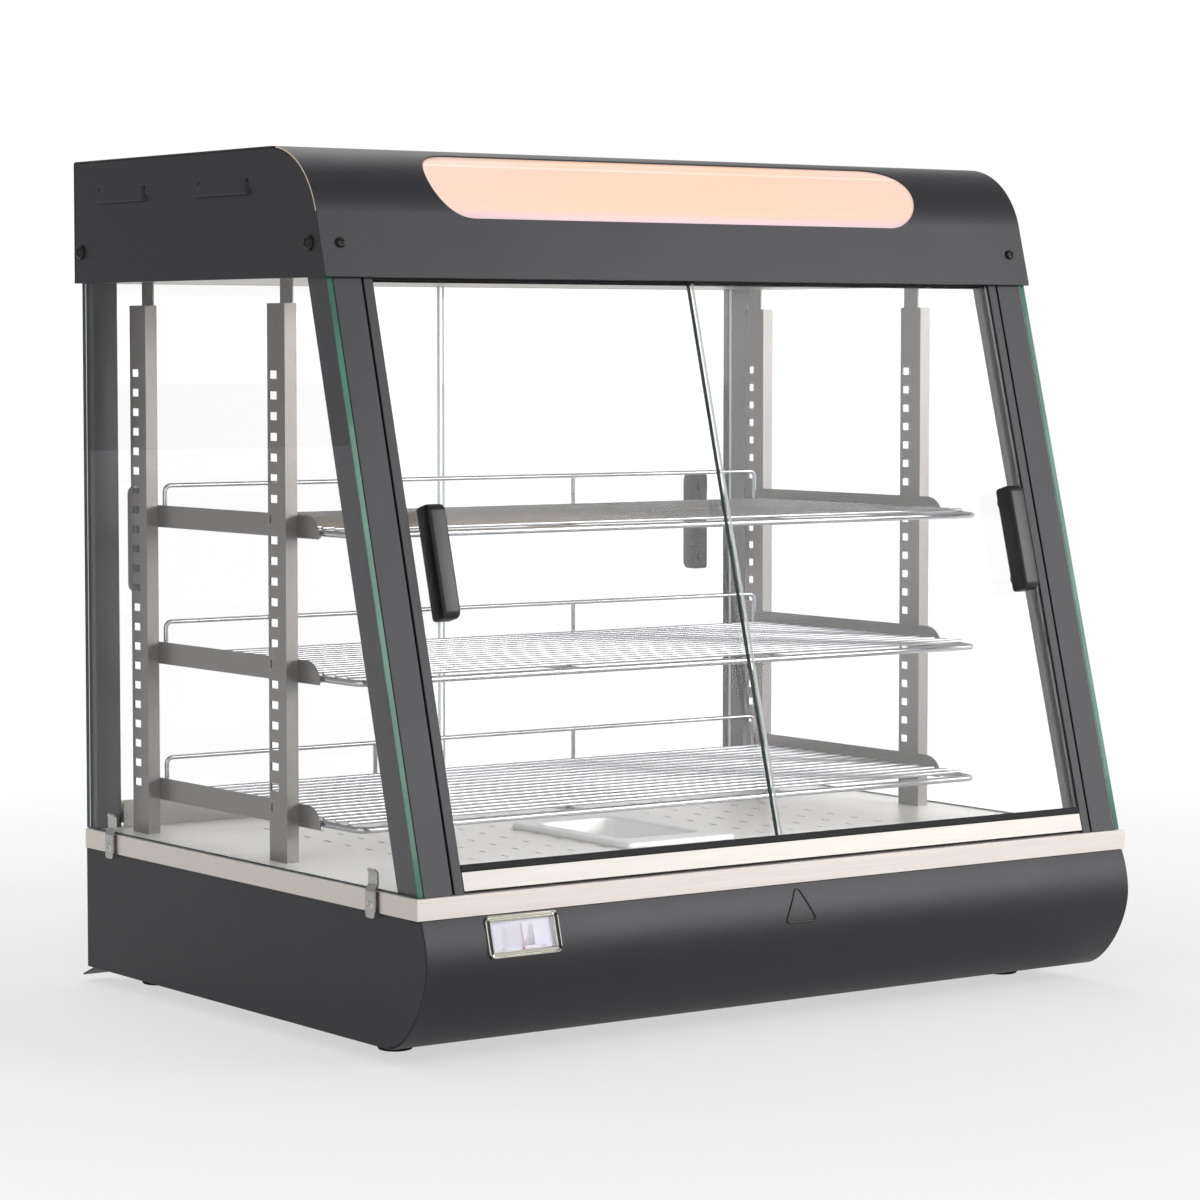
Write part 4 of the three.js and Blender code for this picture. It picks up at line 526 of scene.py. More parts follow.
@dataclass(frozen=True)
class MouldedPlastic(Finish):
    """ABS or PA, injection moulded: a dark skin whose fine spark texture softens the gloss."""

    spark: float = 0.9 * MM
    depth: float = 0.03 * MM

    def pattern(self, tree: Tree, shader: Node, place: Socket) -> None:
        """The mould's texture, and slow gloss changes."""
        self.vary(tree, shader, self.streaks(tree, place, [30 * MM] * 3, 2.0), 0.12, 0.05)
        self.bump(tree, shader, self.streaks(tree, place, [self.spark] * 3, 2.0), self.depth, 0.3)


@dataclass(frozen=True)
class MouldedRubber(Finish):
    """Neoprene, compression moulded: matt, with dusty patches."""

    dust: float = 6 * MM

    def pattern(self, tree: Tree, shader: Node, place: Socket) -> None:
        """Dusty patches and a rough skin."""
        self.vary(tree, shader, self.streaks(tree, place, [self.dust] * 3), 0.35, 0.08)
        self.bump(tree, shader, self.streaks(tree, place, [0.8 * MM] * 3), 0.06 * MM, 0.5)


@dataclass(frozen=True)
class FloatGlass(Finish):
    """Soda-lime float glass, cut and polished: clear, with faint reflections. Lamps shine through it.

    The real glass has an index of 1.52. It is lower here, because the photo's panes hardly mirror anything.
    """

    shade: str = "#FCFEFD"
    index: float = 1.2

    def pattern(self, tree: Tree, shader: Node, place: Socket) -> None:
        """Clear transmission; rays from lamps pass unbent, so that what is behind stays lit.

        Args:
            tree: The material's nodes.
            shader: Its Principled node.
            place: The coordinates. Not used.
        """
        shader.inputs["Transmission Weight"].default_value = 1.0
        shader.inputs["IOR"].default_value = self.index
        clear = add_node(tree, "ShaderNodeBsdfTransparent", {"Color": linear(self.shade)})
        ray = add_node(tree, "ShaderNodeLightPath").outputs["Is Shadow Ray"]
        links = {0: ray, 1: shader.outputs[0], 2: clear.outputs[0]}
        mixed = add_node(tree, "ShaderNodeMixShader", links=links)
        tree.links.new(mixed.outputs[0], tree.nodes["Material Output"].inputs["Surface"])


@dataclass(frozen=True)
class GroundGlassEdge(Finish):
    """The ground and polished edge of float glass: the green of the whole pane, gathered at its rim. Its dark
    and pale variants are painted shade and painted highlights.
    """

    depth_band: float = 14 * MM
    pale: str = "#8FC9B2"

    def pattern(self, tree: Tree, shader: Node, place: Socket) -> None:
        """Paler and darker green along the edge, a little see-through.

        Args:
            tree: The material's nodes.
            shader: Its Principled node.
            place: The coordinates.
        """
        drift = self.streaks(tree, place, [self.depth_band * 3] * 3, 2.0)
        ends = {"data_type": "RGBA", 6: linear(self.colour), 7: linear(self.pale)}
        share = add_node(tree, "ShaderNodeMapRange", {"From Min": 0.35, "From Max": 0.9}, {"Value": drift})
        tone = add_node(tree, "ShaderNodeMix", ends, {0: share.outputs["Result"]})
        tree.links.new(tone.outputs[2], shader.inputs["Base Color"])
        shader.inputs["Transmission Weight"].default_value = 0.15
        shader.inputs["Coat Weight"].default_value = 0.2


@dataclass(frozen=True)
class OpalAcrylic(Finish):
    """Opal acrylic sheet, lit from behind: peach, cooler towards its ends and lilac at its foot."""

    middle: str = "#FFDFC9"
    ends: str = "#F7DFD5"
    foot: str = "#D9C4DC"
    line: str = "#FFFBF6"
    glow: float = 0.52
    half_length: float = 236 * MM
    foot_height: float = 592 * MM
    foot_fade: float = 9 * MM
    line_height: float = 632 * MM
    line_half: float = 1.1 * MM
    line_share: float = 0.8
    even_share: float = 0.25
    patch: tuple[float, float, float] = (120 * MM, 40 * MM, 40 * MM)
    patch_share: float = 0.25

    def pattern(self, tree: Tree, shader: Node, place: Socket) -> None:
        """A glow that turns cooler to the ends and lilac at the foot, with the lamp's pale line near the top.

        Args:
            tree: The material's nodes.
            shader: Its Principled node.
            place: The coordinates.
        """
        parts = add_node(tree, "ShaderNodeSeparateXYZ", links={"Vector": place})
        away = add_node(tree, "ShaderNodeMath", {"operation": "ABSOLUTE"}, {0: parts.outputs["X"]})
        reach = {
            "From Min": self.half_length * self.even_share, "From Max": self.half_length,
            "interpolation_type": "SMOOTHSTEP",
        }
        share = add_node(tree, "ShaderNodeMapRange", reach, {"Value": away.outputs[0]})
        patches = self.streaks(tree, place, self.patch, 1.0)
        grown = {"operation": "MULTIPLY_ADD", 1: self.patch_share}
        uneven = add_node(tree, "ShaderNodeMath", grown, {0: patches, 2: share.outputs[0]})
        ends = {"data_type": "RGBA", 6: linear(self.middle), 7: linear(self.ends), "clamp_factor": True}
        glow = add_node(tree, "ShaderNodeMix", ends, {0: uneven.outputs[0]})
        top = self.foot_height + self.foot_fade
        span = {"From Min": self.foot_height, "From Max": top, "To Min": 1.0, "To Max": 0.0}
        low = add_node(tree, "ShaderNodeMapRange", span, {"Value": parts.outputs["Z"]})
        lilac = {"data_type": "RGBA", 7: linear(self.foot)}
        footed = add_node(tree, "ShaderNodeMix", lilac, {0: low.outputs["Result"], 6: glow.outputs[2]})
        level = {"operation": "SUBTRACT", 1: self.line_height}
        drop = add_node(tree, "ShaderNodeMath", level, {0: parts.outputs["Z"]})
        off = add_node(tree, "ShaderNodeMath", {"operation": "ABSOLUTE"}, {0: drop.outputs[0]})
        width = {"From Min": 0.0, "From Max": self.line_half, "To Min": self.line_share, "To Max": 0.0}
        near = add_node(tree, "ShaderNodeMapRange", width, {"Value": off.outputs[0]})
        bright = {"data_type": "RGBA", 7: linear(self.line)}
        lined = add_node(tree, "ShaderNodeMix", bright, {0: near.outputs["Result"], 6: footed.outputs[2]})
        tree.links.new(lined.outputs[2], shader.inputs["Emission Color"])
        # The sheet's own colour also takes the glow's pattern, with its cooler ends, lilac foot and pale
        # line: painted light.
        shade = {"data_type": "RGBA", "blend_type": "MULTIPLY", 0: 1.0, 7: linear(self.colour)}
        body = add_node(tree, "ShaderNodeMix", shade, {6: lined.outputs[2]})
        tree.links.new(body.outputs[2], shader.inputs["Base Color"])
        shader.inputs["Emission Strength"].default_value = self.glow


@dataclass(frozen=True)
class FrostedLampGlass(Finish):
    """Frosted lamp glass, lit warm white, with slight patches of the frost."""

    light: str = "#FFD48A"
    strength: float = 1.6

    def pattern(self, tree: Tree, shader: Node, place: Socket) -> None:
        """The glow, a little warmer in patches.

        Args:
            tree: The material's nodes.
            shader: Its Principled node.
            place: The coordinates.
        """
        frost = self.streaks(tree, place, [8 * MM] * 3)
        ends = {"data_type": "RGBA", 6: linear(self.colour), 7: linear(self.light)}
        tone = add_node(tree, "ShaderNodeMix", ends, {0: frost})
        tree.links.new(tone.outputs[2], shader.inputs["Emission Color"])
        shader.inputs["Emission Strength"].default_value = self.strength


@dataclass(frozen=True)
class PrintedCard(Finish):
    """Coated card with screen-printed marks: even, matt, with a trace of paper tooth."""

    tooth: float = 0.8 * MM

    def pattern(self, tree: Tree, shader: Node, place: Socket) -> None:
        """Paper tooth."""
        self.vary(tree, shader, self.streaks(tree, place, [self.tooth] * 3), 0.03, 0.04)


COAT = PowderCoat("coated_steel", "#28272C", 0.40)
# Near-black coat: the black screw heads, and painted shade on the pressed triangle's ridge.
COAT_DARK = PowderCoat("coated_steel", "#111113", 0.34)
# Its top faces are painted pale and less metallic: painted highlight.
RIM_STEEL = BrushedSteel("stainless_sheet", "#DDD6D0", 0.34, scoured=0.3)
CEILING_STEEL = BrushedSteel("stainless_sheet", "#A9A39C", 0.34)
PAN_STEEL = PressedSteel("stainless_sheet", "#EFEEEE", 0.42, 0.4)
SILL_STEEL = BrushedSteel("stainless_sheet", "#A8A5A0", 0.50, contrast=0.05)
UPRIGHT_STEEL = BrushedSteel("upright_steel", "#7C7977", 0.36, grain=Grain.UPRIGHT)
CLIP_STEEL = PressedSteel("clip_steel", "#B4B3B1", 0.27, wave=5 * MM)
SCREW_STEEL = PressedSteel("clip_steel", "#D2D1CF", 0.20, wave=3 * MM)
# Pale strip on the cover's side edges: painted highlight.
EDGE_HIGHLIGHT_COAT = PressedSteel("coated_steel", "#E3CFBC", 0.5, 0.2, wave=9 * MM)
SHEATH = HeatTintedSheath("element_sheath", "#736E66", 0.42)
HANDLE_ABS = MouldedPlastic("black_plastic", "#0E0E11", 0.36)
CONTROL_ABS = MouldedPlastic("black_plastic", "#1B1B1D", 0.38)
TRACK_PVC = MouldedPlastic("track_plastic", "#111014", 0.75, depth=0.02 * MM)
# Dark finish for the sides of the bezel's groove: painted shade.
BEZEL_GROOVE_SHADE = MouldedPlastic("bright_bezel", "#1C1B1F", 0.3, depth=0.02 * MM)
BEZEL_CHROME = PressedSteel("bright_bezel", "#DCDAD2", 0.09, wave=6 * MM)
NEEDLE_ENAMEL = MouldedPlastic("pointer_red", "#A8404C", 0.35)
DIAL_CARD = PrintedCard("bright_bezel", "#B9B6C4", 0.6)
DIAL_INK = PrintedCard("bright_bezel", "#33313C", 0.6)
DIAL_GREY_INK = PrintedCard("bright_bezel", "#9A97A2", 0.6)
DIAL_PALE_INK = PrintedCard("bright_bezel", "#AAA7B6", 0.6)
MARK_INK = PrintedCard("black_plastic", "#E8E8E6", 0.5)
GLASS = FloatGlass("clear_glass", "#FFFFFF", 0.0)
GLASS_EDGE = GroundGlassEdge("clear_glass", "#125C45", 0.4, pale="#2A8468")
# A dark edge colour: painted shade along the glass edges.
DARK_EDGE_SHADE = GroundGlassEdge("clear_glass", "#2A3735", 0.22, pale="#4A5F5A")
# A pale edge colour: painted highlight along the glass edges.
PALE_EDGE_GLINT = GroundGlassEdge("clear_glass", "#C9D3D0", 0.22, pale="#E3EAE8")
WIRE = PlatedWire("bright_wire", "#B2B2B5", 0.25)
OPAL = OpalAcrylic("opal_acrylic", "#CDB5A4", 0.22)
LAMP_GLASS = FrostedLampGlass("lamp_glass", "#FFE7BE", 0.4)
RUBBER = MouldedRubber("rubber_foot", "#0C0C0E", 0.8)


# Pieces


class Piece:
    """Gathers the surfaces of one visible piece and makes its object."""

    def __init__(self, name: str, *finishes: Finish) -> None:
        """Starts an empty piece.

        Args:
            name: The object's name.
            finishes: Its finishes, numbered as the faces number them.
        """
        self.name = name
        self.finishes = finishes
        self.build = bmesh.new()

    def skin(self, corners: Iterable[bmesh.types.BMVert], finish: int) -> None:
        """Adds one face, unless it folds onto itself.

        Args:
            corners: Its corners in order.
            finish: The number of the finish.
        """
        corners = list(dict.fromkeys(corners))
        if len(corners) > 2:
            self.build.faces.new(corners).material_index = finish

    def loft(
        self, rings: Sequence[Ring], caps: bool = True, open_rings: bool = False, looped: bool = False,
        finish: int = 0, cap_finish: Optional[int] = None,
    ) -> "Piece":
        """Skins a row of rings that have the same number of points.

        Args:
            rings: The rings in order.
            caps: Whether the first and last ring are closed over.
            open_rings: Whether the rings are open lines.
            looped: Whether the last ring joins the first.
            finish: The number of the finish on the sides.
            cap_finish: The number of the finish on the caps, if another.

        Returns:
            The piece.
        """
        rows = [[self.build.verts.new(p) for p in ring] for ring in rings]
        pairs = list(zip(rows, rows[1:])) + ([(rows[-1], rows[0])] if looped else [])
        for low, high in pairs:
            count = len(low)
            for i in range(count - 1 if open_rings else count):
                j = (i + 1) % count
                self.skin((low[i], low[j], high[j], high[i]), finish)
        if caps and not looped and not open_rings:
            self.skin(reversed(rows[0]), finish if cap_finish is None else cap_finish)
            self.skin(rows[-1], finish if cap_finish is None else cap_finish)
        return self

    def stack(
        self, outline: Sequence[Vector], levels: Sequence[tuple[float, float]], axis: Axis,
        place: Optional[Matrix] = None, **options,
    ) -> "Piece":
        """Draws an outline out along an axis, drawn in by a distance at each level.

        Args:
            outline: The closed outline, counted anticlockwise.
            levels: Pairs of a depth along the axis and a distance that the outline is drawn in there.
            axis: The direction.
            place: The frame that the axis belongs to, if not the part's own.
            options: What loft takes.

        Returns:
            The piece.
        """
        turn = (place or Matrix.Identity(4)) @ axis.matrix
        rings = []
        for depth, inset in levels:
            drawn = shifted(outline, inset) if inset else outline
            rings.append([turn @ Vector((p.x, p.y, depth)) for p in drawn])
        return self.loft(rings, **options)

    def pillow(
        self, outline: Sequence[Vector], start: float, end: float, axis: Axis, edge: float, steps: int = 3,
        place: Optional[Matrix] = None, **options,
    ) -> "Piece":
        """Draws an outline out with rounded edges at both ends.

        Args:
            outline: The closed outline, counted anticlockwise.
            start: Where it begins along the axis.
            end: Where it ends.
            axis: The direction.
            edge: The radius of the rounded edges.
            steps: Stretches in each rounded edge.
            place: The frame that the axis belongs to, if not the part's own.
            options: What loft takes.

        Returns:
            The piece.
        """
        turns = [math.pi / 2 * i / steps for i in range(steps + 1)]
        near = [(start + edge * (1 - math.sin(t)), edge * (1 - math.cos(t))) for t in reversed(turns)]
        far = [(end - edge * (1 - math.sin(t)), edge * (1 - math.cos(t))) for t in turns]
        return self.stack(outline, near + far, axis, place, **options)

    def tube(
        self, points: Sequence[Vector], radius: float, sides: int = 12, looped: bool = False, finish: int = 0,
    ) -> "Piece":
        """A round bar through points, with its rings turned smoothly from one to the next.

        Args:
            points: The centre line.
            radius: The bar's radius.
            sides: Points in each ring.
            looped: Whether the line is a loop.
            finish: The number of the finish.

        Returns:
            The piece.
        """
        count = len(points)
        rings = []
        normal = None
        for i, point in enumerate(points):
            before = points[i - 1] if looped or i > 0 else point
            after = points[(i + 1) % count] if looped or i < count - 1 else point
            along = (after - before).normalized()
            if normal is None:
                normal = along.orthogonal().normalized()
            normal = (normal - along * normal.dot(along)).normalized()
            across = along.cross(normal)
            ring = circle(radius, sides)
            rings.append([point + normal * p.x + across * p.y for p in ring])
        return self.loft(rings, looped=looped, finish=finish)

    def lathe(
        self, profile: Sequence[Point], axis: Axis, centre: Vector, sides: int = 32,
        shape: Optional[Callable[[float, float], float]] = None, finish: int = 0,
        place: Optional[Matrix] = None,
    ) -> "Piece":
        """Turns a profile about an axis.

        Args:
            profile: Pairs of a radius and a height along the axis.
            axis: The axis.
            centre: Where height 0 is on the axis.
            sides: Points in each ring.
            shape: Gives another radius for a radius and an angle, as for flutes.
            finish: The number of the finish.
            place: The frame that axis and centre belong to, if not the part's own.

        Returns:
            The piece.
        """
        place = (place or Matrix.Identity(4)) @ Matrix.Translation(centre) @ axis.matrix
        rings = []
        for radius, height in profile:
            ring = []
            for point in circle(1, sides):
                reach = shape(radius, math.atan2(point.y, point.x)) if shape else radius
                ring.append(place @ Vector((point.x * reach, point.y * reach, height)))
            rings.append(ring)
        return self.loft(rings, finish=finish)

    def make(
        self, body: str, *nodes: str, sheet: float = 0.0, edge: float = 0.0, crease: float = 32,
        sided: bool = False,
    ) -> bpy.types.Object:
        """Makes the object, dresses it and lets it ride.

        Args:
            body: The body that it rides on.
            nodes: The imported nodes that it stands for.
            sheet: The thickness that an open surface gets.
            edge: The radius that rounds what is still sharp.
            crease: Angle in degrees above which an edge stays sharp in the shading.
            sided: Whether the faces already face the way they should.

        Returns:
            The object.
        """
        if not sided:
            bmesh.ops.recalc_face_normals(self.build, faces=self.build.faces[:])
        mesh = bpy.data.meshes.new(self.name)
        self.build.to_mesh(mesh)
        self.build.free()
        mesh.shade_smooth()
        mesh.set_sharp_from_angle(angle=math.radians(crease))
        made = bpy.data.objects.new(self.name, mesh)
        bpy.context.scene.collection.objects.link(made)
        for finish in self.finishes:
            mesh.materials.append(finish.material())
        if sheet:
            thicken = made.modifiers.new("sheet", "SOLIDIFY")
            thicken.thickness = sheet
            thicken.offset = -1
            thicken.use_even_offset = True
        if edge:
            soften(made, edge)
        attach(made, body)
        if nodes:
            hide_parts(*nodes)
        LOG.info("%s on %s, for %s", self.name, body, ", ".join(nodes) or "no node")
        return made


def soften(thing: bpy.types.Object, edge: float) -> None:
    """Rounds the sharp edges of an object, so that they catch the light.

    Args:
        thing: The object.
        edge: The radius.
    """
    rounder = thing.modifiers.new("edge", "BEVEL")
    rounder.width = edge
    rounder.segments = 2
    rounder.limit_method = "ANGLE"
    rounder.angle_limit = SHARP_ANGLE
    rounder.harden_normals = True


def dress(finish: Finish, *nodes: str, edge: float = 0.3 * MM) -> None:
    """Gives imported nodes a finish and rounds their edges.

    Args:
        finish: The finish.
        nodes: The nodes' names.
        edge: The radius of their edges.
    """
    for name in nodes:
        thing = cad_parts[name]
        thing.data.materials.clear()
        thing.data.materials.append(finish.material())
        weld = thing.modifiers.new("weld", "WELD")
        weld.merge_threshold = WELD_GAP
        merge = thing.modifiers.new("flat", "DECIMATE")
        merge.decimate_type = "DISSOLVE"
        merge.angle_limit = FLAT_ANGLE
        if edge:
            soften(thing, edge)
        LOG.info("%s finished as %s", name, type(finish).__name__)


@dataclass(frozen=True)
class PanHeadScrew:
    """A pan-head screw with a cross recess."""

    radius: float
    height: float
    recess: float = 0.62
    arm: float = 0.17
    depth: float = 0.5

    def add(self, piece: Piece, place: Matrix, finish: int = 0) -> None:
        """Adds the head to a piece.

        Args:
            piece: The piece.
            place: A frame whose Z points out of the head and whose origin is under its middle.
            finish: The number of the finish.
        """
        arm, reach = self.arm * self.radius, self.recess * self.radius
        lean = math.atan2(arm, reach)
        corners = []
        for quarter in range(4):
            turn = quarter * math.pi / 2
            corners += [(turn - lean, math.hypot(arm, reach)), (turn + lean, math.hypot(arm, reach))]
            corners += [(turn + math.pi / 4, arm * math.sqrt(2))]
        angles, reaches = [], []
        for i, (angle, r) in enumerate(corners):
            after, r_after = corners[(i + 1) % len(corners)]
            after += 2 * math.pi if after < angle else 0
            here = Vector((math.cos(angle), math.sin(angle))) * r
            there = Vector((math.cos(after), math.sin(after))) * r_after
            middle = (here + there) / 2
            angles += [angle, math.atan2(middle.y, middle.x)]
            reaches += [r, middle.length]
        dome = [(1.0, 0.0), (1.0, 0.35), (0.96, 0.58), (0.86, 0.80), (0.72, 0.93), (0.66, 0.96)]
        rings = []
        for share, rise in dome:
            rings.append([
                (math.cos(a) * share * self.radius, math.sin(a) * share * self.radius, rise * self.height)
                for a in angles
            ])
        top, floor = 0.97 * self.height, (1 - self.depth) * self.height
        for share, level in ((1.0, top), (0.92, floor)):
            rings.append([
                (math.cos(a) * r * share, math.sin(a) * r * share, level) for a, r in zip(angles, reaches)
            ])
        piece.loft([[place @ Vector(p) for p in ring] for ring in rings], finish=finish)


@dataclass
class Base:
    """The base housing: bulged front, tray, rear panel, feet and the heater inside."""

    flange: float = 14 * MM
    bulge: float = 7.7 * MM
    shoulder_drop: float = 16.7 * MM
    fullest_drop: float = 31.7 * MM
    curve_share: float = 0.43
    hidden_lap: float = 0.7 * MM
    sheet: float = 1.2 * MM
    sole_share: float = 0.8
    triangle_width: float = 30 * MM
    triangle_height: float = 26.5 * MM
    triangle_top_gap: float = 1.2 * MM
    triangle_round: float = 2.6 * MM
    ridge: float = 0.75 * MM
    sheath_bend: float = 40 * MM

    def section(self) -> list[Vector]:
        """The front panel's outer line, from the rim flange to the floor.

        Returns:
            The line's points as (y, z).
        """
        box = Extent.of("base_front_panel")
        top, floor, rear = box.high.z, box.low.z, box.high.y
        rim = Extent.of("deck").low.y
        front = rim - self.bulge
        fullest = top - self.fullest_drop
        handle_z = (fullest - floor) * self.curve_share
        handle_y = (rear - front) * self.curve_share
        line = [Vector((rim + self.flange, top))]
        line += bezier([(rim, top), (front, top - self.shoulder_drop), (front, fullest)], 20)
        roll = [(front, fullest), (front, fullest - handle_z), (rear - handle_y, floor), (rear, floor)]
        line += bezier(roll, 36)[1:]
        return line

    def front_panel(self) -> None:
        """One rolled sheet over the whole width, with the opening that the thermometer sits in."""
        box = Extent.of("base_front_panel")
        turn = DIAL_PLACE.inverted()
        dial = Extent.of("thermometer_case", turn)
        low, high = dial.low.z + self.hidden_lap, dial.high.z - self.hidden_lap
        line = self.section()
        rises = [(turn @ Vector((0, p.x, p.y))).z for p in line]
        rows = [(line[0], rises[0])]
        for a, b, rise_a, rise_b in zip(line, line[1:], rises, rises[1:]):
            for cut in (high, low):
                if rise_b < cut < rise_a:
                    rows.append((a.lerp(b, (rise_a - cut) / (rise_a - rise_b)), cut))
            rows.append((b, rise_b))
        xs = [box.low.x, dial.low.x + self.hidden_lap, dial.high.x - self.hidden_lap, box.high.x]
        piece = Piece("front_panel", COAT)
        grid = [[piece.build.verts.new((x, p.x, p.y)) for x in xs] for p, _ in rows]
        for upper, lower, (_, top), (_, bottom) in zip(grid, grid[1:], rows, rows[1:]):
            opened = low < (top + bottom) / 2 < high
            for j in range(len(xs) - 1):
                if not (opened and j == 1):
                    piece.skin((lower[j], lower[j + 1], upper[j + 1], upper[j]), 0)
        piece.make(CASE, "base_front_panel", sheet=self.sheet, edge=0.25 * MM, crease=40, sided=True)

    def pressed_triangle(self) -> None:
        """A blank rounded triangle, pressed outwards in the front panel. Its ridge takes the near-black coat:
        painted shade along the pressing.
        """
        line = self.section()
        top = line[0].y - self.triangle_top_gap
        half = self.triangle_width / 2
        corners = [(-half, top - self.triangle_height), (half, top - self.triangle_height), (0, top)]
        loop = fillet(corners, [self.triangle_round] * 3, 6, closed=True)
        dense = []
        for a, b in zip(loop, loop[1:] + loop[:1]):
            dense += [a.lerp(b, i / 8) for i in range(8 if (b - a).length > 4 * MM else 1)]
        points = [Vector((p.x, self.surface(line, p.y) - self.ridge * 0.1, p.y)) for p in dense]
        Piece("pressed_triangle", COAT_DARK).tube(points, self.ridge, 10, looped=True).make(CASE)

    @staticmethod
    def surface(line: Sequence[Vector], height: float) -> float:
        """The front panel's outer Y at a height.

        Args:
            line: The panel's line as (y, z), from the top down.
            height: The height.

        Returns:
            The Y there.
        """
        for a, b in zip(line, line[1:]):
            if b.y <= height <= a.y and a.y > b.y:
                return a.x + (b.x - a.x) * (a.y - height) / (a.y - b.y)
        return min(p.x for p in line)

    def feet(self) -> None:
        """Four turned rubber feet with a recess for the screw in the sole and a soft sole edge."""
        for end in ("front", "rear"):
            for side in ("left", "right"):
                node = f"foot_{end}_{side}"
                box = Extent.of(node)
                top, height = box.size.x / 2, box.size.z
                sole = top * self.sole_share
                base = Vector((box.centre.x, box.centre.y, box.low.z))
                profile = [
                    (sole * 0.3, height * 0.3), (sole * 0.36, height * 0.06), (sole * 0.45, 0),
                    (sole * 0.82, 0), (sole * 0.94, height * 0.04), (sole, height * 0.14),
                    (sole * 1.02, height * 0.3),
                    (top * 0.97, height * 0.86), (top, height * 0.92), (top, height),
                ]
                Piece(node + "_rubber", RUBBER).lathe(profile, Axis.Z, base, 40).make(CASE, node)

    def heater(self) -> None:
        """The bent tubular element with its terminal pins."""
        box = Extent.of("heating_element")
        radius = box.size.z / 2
        x0, x1 = box.low.x + radius, box.high.x - radius
        y0, y1, z = box.low.y + radius, box.high.y, box.centre.z
        bend = self.sheath_bend
        line = fillet([(x0, y1), (x0, y0), (x1, y0), (x1, y1)], [0, bend, bend, 0], 14)
        piece = Piece("heater_sheath", SHEATH, SCREW_STEEL)
        piece.tube([Vector((p.x, p.y, z)) for p in line], radius, 20)
        for x in (x0, x1):
            pin = [Vector((x, y1 - radius, z)), Vector((x, y1 + radius, z))]
            piece.tube(pin, radius * 0.45, 12, finish=1)
        piece.make(CASE, "heating_element")

    def build(self) -> None:
        """Makes and dresses the base."""
        self.front_panel()
        self.pressed_triangle()
        self.feet()
        self.heater()
        dress(COAT, "base_tray", "base_rear_panel", edge=0.4 * MM)
        dress(CONTROL_ABS, "thermostat_body", edge=1.2 * MM)


@dataclass
class RimAndPan:
    """The steel deck with its rim, and the pressed water pan in it."""

    side_rim: float = 14 * MM
    front_rim: float = 25 * MM
    rim_corner: float = 4 * MM
    body_corner: float = 10 * MM
    skirt: float = 5 * MM
    fold: float = 2.2 * MM
    draft: float = 2.5 * MM
    floor_round: float = 8 * MM
    steel: float = 1 * MM

    def pan(self) -> None:
        """A drawn pan: rim folded down at the outside, walls with draft, a rounded floor."""
        box = Extent.of("water_pan")
        x0, x1, y0, y1, top = box.low.x, box.high.x, box.low.y, box.high.y, box.high.z
        floor = box.low.z + self.steel
        bx0, bx1 = x0 + self.side_rim, x1 - self.side_rim
        by0, by1 = y0 + self.front_rim, y1 - self.side_rim
        rings = []

        def inset(outer: bool, d: float, z: float) -> None:
            """Adds a ring to the rings.

            Args:
                outer: Whether it follows the rim, or else the bowl's mouth.
                d: How far it is drawn in.
                z: Its height.
            """
            corner = self.rim_corner if outer else self.body_corner
            a = (x0, x1, y0, y1) if outer else (bx0, bx1, by0, by1)
            shape = rounded_box(a[0] + d, a[1] - d, a[2] + d, a[3] - d, max(corner - d, 1 * MM), 6)
            rings.append([Vector((p.x, p.y, z)) for p in shape])

        inset(True, 0, top - self.skirt + 0.3 * MM)
        for i in range(5):
            t = math.pi / 2 * i / 4
            inset(True, self.fold * (1 - math.cos(t)), top - self.fold * (1 - math.sin(t)))
        for i in range(5):
            t = math.pi / 2 * i / 4
            inset(False, -self.fold * (1 - math.sin(t)), top - self.fold * (1 - math.cos(t)))
        inset(False, self.draft, floor + self.floor_round)
        for i in range(1, 6):
            t = math.pi / 2 * i / 5
            run, rise = self.floor_round * (1 - math.cos(t)), self.floor_round * (1 - math.sin(t))
            inset(False, self.draft + run, floor + rise)
        piece = Piece("pressed_pan", PAN_STEEL)
        piece.loft(rings, caps=False)
        piece.skin(piece.build.verts[-len(rings[-1]):], 0)
        piece.make("pan", "water_pan", sheet=self.steel, sided=True)

    def build(self) -> None:
        """Makes the pan and dresses the deck."""
        self.pan()
        dress(RIM_STEEL, "deck", edge=0.45 * MM)


